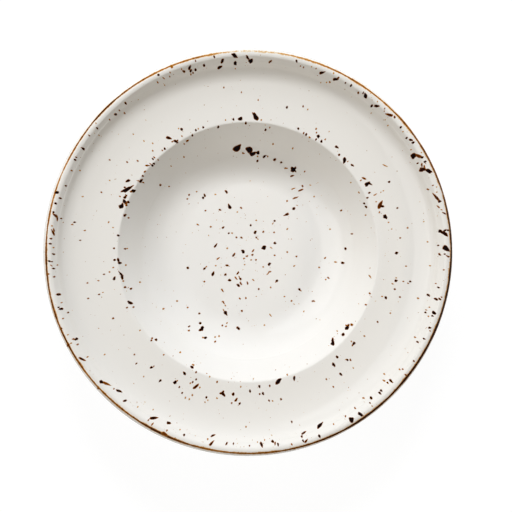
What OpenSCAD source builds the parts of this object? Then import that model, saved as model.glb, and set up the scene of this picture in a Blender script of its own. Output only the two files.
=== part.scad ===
// Rimmed soup plate: fired clay under a thin glaze, with a brown oxide line round the lip.
// The section is walked from the centre of the well out over the rim, round the lip and back
// under to the centre of the hollow base. Straight lines give the floor, the wall, the rim and
// the flare, and arcs and sweeps join them. The glaze and the oxide line are an even coat of
// that section, and the clay is what is left inside.

/* [Plate] */
// Diameter across the lip
plate_d = 240; // [200:1:280]
// Height from the table to the top of the lip
plate_h = 40; // [34:0.5:46]
// Radius of the rolled lip
lip_r = 3.2; // [2.7:0.1:3.7]

/* [Rim] */
// Width of the rim, from the lip's outside in to the shoulder of the well
rim_w = 43.5; // [38:0.5:50]
// Thickness of the rim
rim_t = 4.6; // [3.8:0.1:5.4]
// Height of the lip's top above the rim's level ring
flare_h = 11; // [9:0.5:13]
// Slope of the flare under the lip, in degrees
flare_slope = 42; // [36:1:48]
// Slope of the flare's underside, in degrees
under_slope = 27; // [23:1:32]
// How far up the flare its bend reaches
flare_bend = 8; // [6.5:0.5:9]
// Share of the ring, from the shoulder to the flare's foot, over which the rim rises
rise_share = 0.75; // [0.6:0.05:0.85]

/* [Well] */
// Height of the well's floor above the table
floor_h = 7.1; // [6:0.1:8.4]
// Slope of the wall, in degrees
wall_slope = 43; // [37:1:50]
// Radius of the sweep from the floor into the wall
bowl_r = 36; // [30:1:42]
// Radius of the shoulder, where the wall breaks into the rim
shoulder_r = 2; // [1:0.1:3]
// Thickness of the wall
wall_t = 5; // [4.2:0.1:5.8]
// Radius of the sweep outside, between the wall and the rim
under_r = 9; // [7:0.5:11]

/* [Foot] */
// How far outside the floor's edge the foot ring stands
foot_out = 17.2; // [14.5:0.1:20]
// Width of the foot ring
foot_w = 5.6; // [4.8:0.1:6.6]
// Radius of the foot's bare edges
foot_edge_r = 0.8; // [0.6:0.1:1]
// How far the foot's outer side leans out, up to the sweep above it
foot_lean = 0.7; // [0.2:0.1:1.2]
// Radius of the sweep from the foot's outer side into the plate
foot_sweep_r = 3; // [2.4:0.1:3.6]
// Height of the hollow inside the foot
hollow_h = 2.8; // [2.4:0.1:3.3]
// How far the foot's inner side leans in, up to the sweep above it
hollow_lean = 0.4; // [0.2:0.1:0.8]
// Radius of the sweep inside the foot
hollow_sweep_r = 2; // [1.6:0.1:2.2]

/* [Glaze] */
// Thickness of the glaze and of the oxide line
glaze_t = 0.4; // [0.3:0.05:0.5]
// How far outside the lip's crown the middle of the oxide line runs
line_out = 1.4; // [1.1:0.1:1.7]
// Width of the oxide line along the lip
line_w = 1.3; // [1:0.1:1.6]

/* [Hidden] */
// How far a straight facet may fall short of the arc that it stands for
sag = 0.02;
// Outline points nearer to each other than this are one
same_point = 0.002;
// Facets along a sweep, and round the axis
sweep_steps = 10;
round_steps = 180;

glaze_colour = "#eeebe6";
clay_colour = "#ddd4c6";
line_colour = "#7a4519";

// Unit steps along a heading, where 0 is outward and 90 is up, and to the right of it,
// which is into the clay
function along(heading) = [cos(heading), sin(heading)];
function across(heading) = [sin(heading), -cos(heading)];

// Where two lines meet. A line is [distance from the axis, height, heading].
function meet(a, b) =
    let (apart = [b[0] - a[0], b[1] - a[1]], run = apart * across(b[2]) / sin(b[2] - a[2]))
    [a[0], a[1]] + run * along(a[2]);

// Outline points are [distance from the axis, height, heading]. The radius of an arc is plus
// where the surface is hollow and minus where it is rounded.
function arc(centre, radius, from, to) =
    let (facet = 2 * acos(1 - sag / abs(radius)), steps = ceil(abs(to - from) / facet))
    [for (i = [0 : steps])
        let (heading = from + (to - from) * i / steps, p = centre + radius * across(heading))
        [p[0], p[1], heading]];

// The arc that rounds the corner from one line into the next
function rounded(a, b, radius) =
    let (
        back = radius * tan(abs(b[2] - a[2]) / 2),
        bent = sign(b[2] - a[2]) * radius,
        centre = meet(a, b) - back * along(a[2]) - bent * across(a[2])
    )
    arc(centre, bent, a[2], b[2]);

// The parabola that leaves one line at a distance before the corner and joins the next after it
function swept(a, b, before, after) =
    let (
        corner = meet(a, b),
        start = corner - before * along(a[2]),
        end = corner + after * along(b[2])
    )
    [for (i = [0 : sweep_steps])
        let (
            t = i / sweep_steps,
            p = pow(1 - t, 2) * start + 2 * t * (1 - t) * corner + pow(t, 2) * end,
            way = (1 - t) * before * along(a[2]) + t * after * along(b[2])
        )
        [p[0], p[1], atan2(way[1], way[0])]];

// Heading of the tangent from one circle to the next. A circle is [distance, height, radius].
function tangent(a, b) =
    let (way = [b[0] - a[0], b[1] - a[1]])
    (atan2(way[1], way[0]) + asin((a[2] - b[2]) / norm(way)) + 360) % 360;

// Points at a depth below the finished surface
function sunk(points, depth) =
    [for (p = points) let (inward = depth * across(p[2])) [p[0] + inward[0], p[1] + inward[1]]];
function backwards(points) = [for (i = [len(points) - 1 : -1 : 0]) points[i]];
function distinct(points) =
    [for (i = [0 : len(points) - 1])
        if (i == 0 || norm(points[i] - points[i - 1]) > same_point) points[i]];

// Straight lines of the face
rim_h = plate_h - flare_h;
well_r = plate_d / 2 - rim_w;
lip = [plate_d / 2 - lip_r, plate_h - lip_r];
flare_foot = lip - lip_r * across(flare_slope);
floor_line = [0, floor_h, 0];
wall_line = [well_r, rim_h, wall_slope];
rim_line = [well_r, rim_h, 0];
flare_line = [flare_foot[0], flare_foot[1], flare_slope];

// Straight lines of the back, walked inward, so their headings are half a turn on
under_flare_foot = lip + lip_r * across(under_slope);
under_wall_foot = [well_r, rim_h] + wall_t * across(wall_slope);
under_flare_line = [under_flare_foot[0], under_flare_foot[1], 180 + under_slope];
under_rim_line = [well_r, rim_h - rim_t, 180];
under_wall_line = [under_wall_foot[0], under_wall_foot[1], 180 + wall_slope];

// The ring rises over this length in front of the flare, on the face and on the back
face_rise = rise_share * (meet(rim_line, flare_line)[0] - well_r);
under_rise = rise_share
    * (meet(under_flare_line, under_rim_line)[0] - meet(under_rim_line, under_wall_line)[0]);

// The bowl's underside is as far from its face as the wall is thick, so both share a centre
floor_edge = meet(floor_line, wall_line)[0] - bowl_r * tan(wall_slope / 2);
bowl = [floor_edge, floor_h + bowl_r];
under_bowl_r = bowl_r + wall_t;

// The foot's outer side ends in a sweep that touches the bowl's underside
foot_r = floor_edge + foot_out;
foot_sweep_reach = under_bowl_r + foot_sweep_r;
foot_turn = asin((foot_out + foot_lean + foot_sweep_r) / foot_sweep_reach);
foot_sweep = bowl + foot_sweep_reach * across(foot_turn);

// The foot's edges are bare, so here the glaze's thickness is added to the clay's own radius
foot_edge = foot_edge_r + glaze_t;
foot_outer = [foot_r - foot_edge, foot_edge_r];
foot_inner = [foot_r - foot_w + foot_edge, foot_edge_r];
hollow_sweep = [
    foot_r - foot_w - hollow_lean - hollow_sweep_r,
    hollow_h - hollow_sweep_r
];
foot_side = tangent(concat(foot_sweep, foot_sweep_r), concat(foot_outer, -foot_edge));
hollow_side = tangent(concat(foot_inner, -foot_edge), concat(hollow_sweep, hollow_sweep_r));

// The oxide line takes its own stretch of the lip, and the two glazes end against it
line_middle = -asin(line_out / lip_r);
line_half = line_w / 2 / lip_r * 180 / PI;
line_from = line_middle + line_half;
line_to = line_middle - line_half;

line_run = arc(lip, -lip_r, line_from, line_to);
foot_run = concat(
    arc(foot_outer, -foot_edge, foot_side, 180),
    arc(foot_inner, -foot_edge, 180, hollow_side)
);
face_run = concat(
    [floor_line],
    rounded(floor_line, wall_line, bowl_r),
    rounded(wall_line, rim_line, shoulder_r),
    swept(rim_line, flare_line, face_rise, flare_bend),
    arc(lip, -lip_r, flare_slope, line_from)
);
back_run = concat(
    arc(lip, -lip_r, line_to, under_slope - 180),
    swept(under_flare_line, under_rim_line, flare_bend, under_rise),
    rounded(under_rim_line, under_wall_line, under_r),
    arc(bowl, -under_bowl_r, 180 + wall_slope, 180 + foot_turn),
    arc(foot_sweep, foot_sweep_r, 180 + foot_turn, foot_side),
    [foot_run[0]]
);
base_run = concat(
    [foot_run[len(foot_run) - 1]],
    arc(hollow_sweep, hollow_sweep_r, hollow_side, 180),
    [[0, hollow_h, 180]]
);

// Turns a section round the plate's axis
module turned(points) {
    rotate_extrude($fn = round_steps) polygon(distinct(points));
}

// The coat on a stretch of the outline: out along its surface, and back along the clay
module coat(run) {
    turned(concat(sunk(run, 0), backwards(sunk(run, glaze_t))));
}

// Fired clay in one piece, from the well's floor to the lip and down to the foot ring
module plate_body() {
    outline = concat(face_run, line_run, back_run, foot_run, base_run);
    color(clay_colour) turned(sunk(outline, glaze_t));
}

// Warm white glaze on the eating side, from the centre of the well to the oxide line
module face_glaze() {
    color(glaze_colour) coat(face_run);
}

// Brown oxide line round the outer shoulder of the lip
module edge_line() {
    color(line_colour) coat(line_run);
}

// Plain glaze outside, from the oxide line to just above the table
module back_glaze() {
    color(glaze_colour) coat(back_run);
}

// Plain glaze in the hollow inside the foot ring
module base_glaze() {
    color(glaze_colour) coat(base_run);
}

plate_body();
face_glaze();
edge_line();
back_glaze();
base_glaze();
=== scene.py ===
"""Speckled rimmed soup plate, laid out as an add-on over its CAD frame.

The section is walked from the middle of the well out over the rim, round the lip and back under
to the middle of the hollow base, with the clay to the right of the walk. Each glaze is a closed
coat of revolution on a stretch of that walk. The iron flecks are thin lenses set into the glaze.
"""

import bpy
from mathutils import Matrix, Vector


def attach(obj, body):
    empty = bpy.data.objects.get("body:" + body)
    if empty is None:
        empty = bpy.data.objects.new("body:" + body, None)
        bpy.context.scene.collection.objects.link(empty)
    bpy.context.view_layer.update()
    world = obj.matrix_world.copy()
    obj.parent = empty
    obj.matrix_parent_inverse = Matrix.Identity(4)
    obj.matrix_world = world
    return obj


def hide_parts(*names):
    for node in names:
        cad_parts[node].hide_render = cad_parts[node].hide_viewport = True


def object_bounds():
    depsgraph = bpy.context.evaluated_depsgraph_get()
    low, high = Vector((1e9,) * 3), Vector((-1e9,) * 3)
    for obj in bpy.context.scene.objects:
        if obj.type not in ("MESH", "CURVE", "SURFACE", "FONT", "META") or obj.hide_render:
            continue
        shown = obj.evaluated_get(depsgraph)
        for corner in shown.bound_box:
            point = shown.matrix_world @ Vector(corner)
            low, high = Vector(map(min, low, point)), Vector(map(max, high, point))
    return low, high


bl_info = {
    "name": "Rimmed Soup Plate",
    "version": (1, 0, 0),
    "blender": (4, 5, 0),
    "location": "3D View > Sidebar > Soup Plate",
    "description": "A speckled soup plate with a brown edge line, built over its CAD frame",
    "category": "Add Mesh",
}

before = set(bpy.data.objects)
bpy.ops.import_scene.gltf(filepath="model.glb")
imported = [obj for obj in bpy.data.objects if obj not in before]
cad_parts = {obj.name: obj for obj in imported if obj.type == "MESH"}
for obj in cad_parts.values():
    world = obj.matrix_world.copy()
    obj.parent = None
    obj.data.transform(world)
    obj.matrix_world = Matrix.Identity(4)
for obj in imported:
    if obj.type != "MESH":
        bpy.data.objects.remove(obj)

import math
from types import SimpleNamespace

import bpy
import numpy as np
from bpy.props import FloatProperty, FloatVectorProperty, IntProperty, PointerProperty
from mathutils import Vector

MM = 0.001
CAD_LOW, CAD_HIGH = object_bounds()

# How the oxide line was banded on the turning plate: angle in degrees, its inner and outer edge
# in millimetres from the axis, and the share of a full brush of oxide that was laid there
LINE_BANDING_SHARES = [
    (0, 118.4, 119.9, 1.25), (10, 118.5, 119.9, 1.05), (20, 118.65, 119.9, 0.88), (30, 118.4, 119.8, 0.84),
    (40, 118.2, 119.7, 0.64), (50, 117.9, 119.3, 0.5), (60, 117.8, 119.1, 0.6), (70, 117.6, 119, 0.46),
    (78, 117.6, 118.9, 0.27), (85, 117.6, 118.8, 0.18), (92, 117.7, 118.7, 0.1), (97, 117.5, 118.7, 0.28),
    (105, 117.5, 118.8, 0.6), (115, 117.7, 119, 0.54), (120, 117.9, 119, 0.64), (127, 118, 119.1, 0.75),
    (133, 118, 119.2, 0.95), (139, 118, 119.1, 1), (143, 117.9, 118.9, 0.8), (150, 117.8, 118.8, 0.68),
    (158, 117.9, 118.8, 0.54), (165, 117.8, 118.8, 0.52), (175, 117.7, 118.8, 0.74),
    (183, 117.6, 118.9, 0.95), (192, 117.9, 119.2, 0.76), (200, 118, 119.3, 0.72),
    (207, 117.7, 119.2, 0.95), (215, 117.8, 119.1, 0.58), (225, 117.6, 118.9, 0.62),
    (235, 117.4, 118.8, 0.7), (244, 117.1, 119, 0.94), (250, 117.4, 119, 0.78), (260, 117.6, 118.9, 0.57),
    (275, 117.8, 119.1, 0.62), (290, 118, 119.3, 0.84), (300, 118.1, 119.6, 1.05),
    (306, 117.9, 119.6, 1.05), (312, 118, 119.5, 0.94), (320, 117.8, 119.5, 1), (330, 117.9, 119.7, 1.2),
    (340, 118.2, 119.8, 1.2), (350, 118.3, 119.9, 1.4),
]

# Burnt iron in the face's glaze. Each mark has its angle in degrees, its distance from the axis,
# how far its tail runs outward and how far counter-clockwise, its width (millimetres), and the
# share by which the iron has faded, from 0 for black through 0.5 for rust to 1 for pale tan.
LIP_MARK_SHARES = [
    (89.2, 112.1, 0.6, -0.4, 2.1, 0), (90.4, 115.4, -2.4, -1.6, 1.1, 0.06),
    (83.5, 112.3, 1, -0.9, 1.1, 0.3), (75.8, 116.2, -0.9, -0.6, 1, 0.05), (74.2, 113.5, 0.3, 0, 0.6, 0.5),
    (73.2, 113.3, 0.3, 0, 0.7, 0.4), (71, 115, 0.5, 0, 0.5, 0.85), (69.6, 114.9, 0.3, 0, 0.6, 0.6),
    (68, 113.3, 1.8, -2.2, 1.3, 0.1), (64.2, 110.8, 0.3, 0.2, 0.9, 0.6), (65.1, 109.8, 0.3, 0, 0.6, 0.8),
    (66.7, 108.4, 0.3, 0, 0.5, 0.85), (64.3, 116.3, 0.5, 0.3, 0.8, 0.9), (63.5, 113.4, 1.2, -2, 1.5, 0),
    (62.7, 115, 0.8, -0.5, 0.9, 0.35), (60, 114.5, 0.5, 0, 0.7, 0.2), (58.2, 114.6, 1.1, 0, 0.9, 0.08),
    (55.2, 113.7, 0.4, 0.2, 1, 0.35), (54, 115, 1.1, 0.3, 0.7, 0.1), (52.8, 114.4, 1.1, 1, 1.7, 0),
    (49.7, 112.2, 0.8, 0, 1.2, 0), (49, 113.7, 1.6, -2, 1.3, 0.08), (49.2, 116.5, 0.3, 0.3, 0.6, 0.85),
    (46.3, 116, 0.8, 0.2, 0.5, 0.4), (45.9, 115, 0.4, 0, 0.5, 0.55), (43.4, 116.5, -1.8, 3.1, 1.6, 0.3),
    (42.5, 116.9, 0.3, 0.4, 1.1, 0.3), (48.4, 109, 0.4, 0, 0.5, 0.8), (43.9, 111.8, 0.3, 0, 0.5, 0.85),
    (42.1, 110.7, 0.4, 0, 0.6, 0.8), (39.2, 115.5, 0.7, 0, 1, 0.03), (37.8, 115.1, 0.3, 0, 0.6, 0.85),
    (35.7, 114.4, 0.7, 0, 0.9, 0.12), (34.7, 115.7, 0.8, -0.9, 1.3, 0.15), (33.5, 115.9, 0.9, 0, 1.2, 0),
    (32.1, 112.8, 0.5, 0, 0.6, 0.8), (30.1, 112.2, 0.5, 0.2, 2.8, 0), (28.9, 115.6, -2, 2.6, 1.7, 0.42),
    (28.5, 115.9, 0.9, 0, 1.1, 0.05), (29.8, 117.2, 0.3, 0, 0.6, 0.8), (27, 116.3, 0.8, 0, 1.1, 0),
    (27.6, 112.2, 0.5, 0, 0.8, 0.15), (24.4, 115.8, 1.1, -1.4, 2.1, 0.02),
    (25.4, 112.6, 1.8, -0.6, 2.4, 0.2), (26.3, 113.8, 0.8, 1.4, 0.9, 0.4),
    (25.7, 114.9, 0.3, 0.8, 0.9, 0.5), (19.8, 115, 0.7, 0, 0.6, 0.45), (19, 116.9, 0.4, 0, 0.5, 0.85),
    (19.3, 111.5, 0.7, -0.4, 0.8, 0.5), (14.8, 116, 0.6, 0, 1.5, 0.1), (15.2, 116, -2.2, 4.5, 1.5, 0.28),
    (17.6, 116, 0.4, 0, 0.6, 0.75), (13, 115.3, -1.2, 1.6, 0.7, 0.5), (12.4, 116, 0.5, -0.4, 0.6, 0.7),
    (10.9, 118, -1.6, 1.3, 0.8, 0.3), (6.2, 113.2, 0.5, 0, 1.6, 0), (5, 117, -3.4, 2, 1.8, 0.15),
    (6.4, 116.8, -1.8, -1.1, 1.1, 0.1), (6.2, 117.8, 0.4, 0, 0.9, 0), (2, 111.5, 0.5, 0, 0.8, 0.2),
    (1.4, 115.5, 1.6, -1.7, 2.5, 0), (9.8, 104.6, 0.5, 0, 0.5, 0.85), (3.3, 105.5, 0.5, -0.2, 0.7, 0.75),
    (94.2, 116.4, -1.4, -1.6, 1.9, 0), (93.8, 111, 0.7, 0, 1.6, 0), (97.8, 112.7, 1.5, -0.9, 1.5, 0.02),
    (99, 109.6, 0.7, -1.5, 1.5, 0), (99.8, 116.9, -1, -0.2, 0.9, 0.12), (93.9, 108.1, 0.2, 0, 0.6, 0.7),
    (103.2, 112.5, 0.5, 0, 1.2, 0), (105.3, 116.1, 1, 0, 0.6, 0.3), (106, 111.3, 0.5, 0, 1.2, 0),
    (107.8, 113, 1.6, -1.3, 1.3, 0.02), (107.6, 111.4, 0.7, -0.6, 1.2, 0.05),
    (109.4, 112.4, 0.5, 0.4, 1.3, 0.25), (109.9, 114, 0.6, 0, 0.6, 0.6), (107, 110, 0.5, 0, 0.8, 0.4),
    (107.8, 109.5, 0.5, 0, 0.7, 0.6), (112.3, 117.5, 0.8, 0, 1.6, 0.62), (113.4, 114.7, 0.6, 0, 0.6, 0.65),
    (114, 112.7, 0.5, 0, 0.6, 0.6), (116.7, 116.4, 0.4, 0.3, 1.1, 0.02), (115.7, 113, 1.2, 0.6, 0.6, 0.65),
    (118, 112.6, 0.8, 0, 0.7, 0.55), (116.5, 109.4, 0.5, 0, 0.5, 0.8), (129.4, 112.7, 0.9, 0, 1, 0.1),
    (131.6, 108.9, 0.6, 0, 0.8, 0.5), (132.2, 112.1, 0.5, 0, 0.7, 0.4), (133.8, 112, 0.3, 0.2, 1.4, 0.12),
    (136.3, 112.1, 0.4, 0, 0.6, 0.55), (139.7, 116.7, 0.4, 0, 0.6, 0.75), (140.6, 114.2, 0.7, 0, 0.9, 0.05),
    (141.9, 110.9, 0.5, 0, 0.5, 0.8), (143.7, 115.2, 0.7, 0, 0.7, 0.4), (147.9, 113.4, 1.7, 0, 1.1, 0.03),
    (151.9, 114.6, 0.7, 0, 1, 0.05), (151.1, 114.6, 0.8, 0, 0.7, 0.3), (155.2, 113.5, 0.7, 0, 0.7, 0.6),
    (154.1, 109.4, 0.4, 0, 0.7, 0.8), (160, 113.3, 0.6, 0, 0.8, 0.12), (162.6, 117, 0.6, 0.4, 1.6, 0.05),
    (164, 114, 1, 0, 0.9, 0.2), (165.8, 115.9, 0.7, 0, 1.1, 0), (168.4, 116.1, 0.4, 0, 1, 0),
    (169.5, 114, 2.2, -1.2, 1.5, 0.32), (169.6, 113.5, -0.3, 2.2, 0.9, 0.35),
    (169.8, 111, 0.6, 0, 0.7, 0.3), (172.4, 115.6, 0.4, 0, 0.7, 0.7), (174.9, 114, 1.7, -2.8, 1.1, 0.3),
    (173.8, 114.2, 0.5, -1.3, 0.9, 0.45), (176.1, 115.3, 0.8, 0, 0.9, 0.35),
    (177.6, 115.4, 1.1, 0, 0.9, 0.25), (178.7, 113.7, 0.5, 0, 0.7, 0.75), (170.2, 103, 0.5, 0.2, 0.9, 0.15),
    (171, 104.1, 0.7, 0.3, 0.7, 0.6), (161.4, 102.1, 0.6, 0.2, 0.7, 0.8),
    (180.7, 113.4, 1.2, -0.4, 0.9, 0.2), (182.7, 116, 1.1, -0.3, 0.9, 0.02),
    (182.8, 114.7, 0.5, 0, 0.6, 0.2), (184.9, 113.9, 0.9, -0.2, 0.9, 0.2), (184.1, 115, 1, -0.8, 0.5, 0.55),
    (183.9, 111.7, 0.5, 0, 0.6, 0.6), (187.3, 114.1, 0.8, 0, 0.8, 0.35), (192.7, 113, 1.8, -0.3, 1.3, 0.15),
    (195.2, 112.9, 0.6, 0, 0.6, 0.65), (197, 113.8, 1.6, -0.2, 1.3, 0.02),
    (196.3, 115.4, 0.5, 0, 0.9, 0.08), (199.8, 114.9, 0.6, 0, 0.7, 0.6), (198.6, 111, 0.6, 0, 0.8, 0.3),
    (204.7, 115.9, 0.5, 0, 0.6, 0.75), (206.9, 112.4, 1.1, 0, 1.3, 0), (206.6, 113.9, 1, -0.4, 0.8, 0.5),
    (208.5, 113.3, 0.7, 0, 0.8, 0.5), (207.3, 116.3, 0.8, 0, 0.7, 0.75), (213.2, 112.1, 0.7, 0, 0.7, 0.65),
    (212.2, 116.5, -1.7, 3, 1.3, 0.22), (213.4, 115.2, -0.5, 0.7, 0.8, 0.5),
    (221.4, 115, -0.3, 0.9, 1.7, 0.12), (221.9, 114.4, -2, 4.2, 1.4, 0.42),
    (226.5, 111.8, -1.1, 2.8, 1.2, 0), (225.6, 112.3, 0.3, 0, 0.7, 0.5), (230.6, 112.9, 1, -0.8, 1.1, 0.04),
    (234.6, 111.5, 0.4, 0, 0.7, 0.85), (239.7, 113.2, -2.3, 3.2, 1.5, 0.04),
    (239.4, 114.6, 0.5, 0, 0.7, 0.5), (241.1, 114.9, 1.9, -0.5, 0.8, 0.6), (239, 107.9, 0.5, 0, 0.5, 0.8),
    (245.5, 110.6, 0.3, -1.1, 1.3, 0.12), (244.9, 110.7, 0.4, 0, 1.2, 0.05),
    (245.6, 114.9, 0.6, 0, 0.8, 0.6), (249.1, 111.6, 0.4, 0, 0.6, 0.8), (250.8, 113.6, 0.6, 0, 1, 0.05),
    (258.8, 110.5, -1.3, 1.8, 1, 0.2), (257.9, 112.3, 0.5, 0, 0.8, 0.65),
    (258.9, 115.6, -2.3, 1.5, 1.4, 0.25), (263.8, 112.8, 1.3, -0.6, 0.8, 0.15),
    (265.7, 112.7, 0.7, 0, 0.7, 0.25), (269.4, 102.7, 0.4, 0, 0.8, 0.75), (215.6, 103.3, 0.5, 0, 0.7, 0.8),
    (244.8, 117.4, 0.2, 2.8, 1.7, 0.45), (222.3, 118.6, 0.2, 0, 1.3, 0.5),
    (207.3, 118.4, 0.6, 0.5, 1.6, 0.35), (202.3, 118, 0.5, 0, 1, 0.4), (186.3, 117.4, 0.6, 0, 1, 0.5),
    (270.5, 113.7, 0.5, 0, 0.7, 0.3), (273.9, 112.4, 2.6, 0.8, 1.3, 0.12), (272.9, 111.8, 0.4, 0, 0.5, 0.8),
    (275.1, 110.7, 0.6, 0, 0.5, 0.7), (277.4, 112.2, 0.3, 0.3, 1.4, 0.1),
    (278.9, 113.9, 1.5, 0.1, 0.9, 0.08), (278.2, 113, 1.6, -0.4, 0.8, 0.4),
    (282.8, 115.7, 0.7, 0.3, 0.8, 0.55), (286.8, 116.8, -1.3, 1.6, 1.1, 0.3),
    (286.3, 115.3, 0.9, 0.2, 0.9, 0.08), (286.3, 112.8, 0.6, 0, 1, 0.2),
    (286.7, 111.6, -0.7, 2.2, 1.1, 0.2), (291.9, 110.9, -1.2, 2.9, 1.6, 0),
    (291.2, 115.6, 1.1, 0.2, 1.2, 0.03), (296.5, 112.9, 0.4, 0, 0.7, 0.7),
    (300.8, 112.1, 0.4, -0.3, 0.8, 0.5), (301.7, 115.6, 0.6, 0, 2.6, 0), (304.5, 111, 0.6, 0, 0.8, 0.45),
    (304.6, 115.2, 1.9, 0.8, 1.6, 0.05), (308.9, 116, 0.4, 0, 0.6, 0.8), (309, 113.8, 0.5, 0, 0.7, 0.25),
    (308.3, 109.3, 0.4, 0.4, 0.9, 0.6), (310.2, 111.9, 0.7, 0, 1.3, 0), (313.1, 112.9, 1.3, 0, 1, 0.02),
    (313.9, 112.7, 0.5, 0, 1.1, 0.05), (318, 112.1, 2.4, 0, 1.1, 0.15), (316.9, 112.1, 0.6, 0, 0.9, 0.3),
    (316.6, 110, 0.6, 0.3, 0.8, 0.65), (318.2, 107.3, 0.6, 0, 0.8, 0.75), (322.1, 117, 1.2, 0, 0.9, 0.45),
    (322.9, 113.8, 0.4, 0, 0.8, 0.5), (322.3, 112.4, 0.5, 0, 0.8, 0.7), (326.7, 116.3, 0.5, 0, 0.9, 0.35),
    (332.1, 112.4, 0.7, 0, 0.9, 0.15), (333, 109.9, 0.6, 0, 0.8, 0.6), (333.8, 114.8, 1, 0, 0.8, 0.05),
    (337.3, 115.1, 0.9, 0.4, 1.1, 0.12), (336.6, 116.2, 0.4, 0, 0.6, 0.5), (340.9, 114.2, 0.8, 0, 0.8, 0.1),
    (342, 114.4, 1, -0.4, 1.6, 0.03), (341.2, 109.9, 0.5, 0, 0.9, 0.08), (342, 109.8, 0.6, 0, 0.6, 0.6),
    (346.3, 115.4, 1, -0.3, 1.1, 0.25), (346.9, 116.4, 0.4, 0, 0.7, 0.5),
    (346, 113.2, 1.4, -0.3, 1.2, 0.05), (346.7, 108.4, 1.2, -0.5, 1.1, 0.08),
    (349.5, 113.3, 0.9, -0.2, 0.8, 0.08), (350.5, 111.6, 0.4, 0, 0.6, 0.55),
    (354.8, 115.1, 0.5, 0, 0.7, 0.6), (358.6, 117.9, -1.6, 0.8, 0.9, 0.42),
    (359.4, 115.2, 0.5, 0, 0.8, 0.2), (359.4, 112.1, 0.8, -0.5, 1, 0.3), (355.7, 107, 0.5, 0, 0.7, 0.8),
    (136.2, 112.4, 0.3, 0, 0.7, 0.6), (343.1, 111.2, 0.3, 0, 0.7, 0.7), (340.4, 112.3, 0.3, 0, 0.7, 0.7),
    (316.6, 109.4, 0.3, 0, 0.7, 0.7), (344.8, 103.3, 0.6, 0, 0.9, 0.65), (284.5, 102.9, 0.8, 0, 0.8, 0.25),
]
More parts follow.
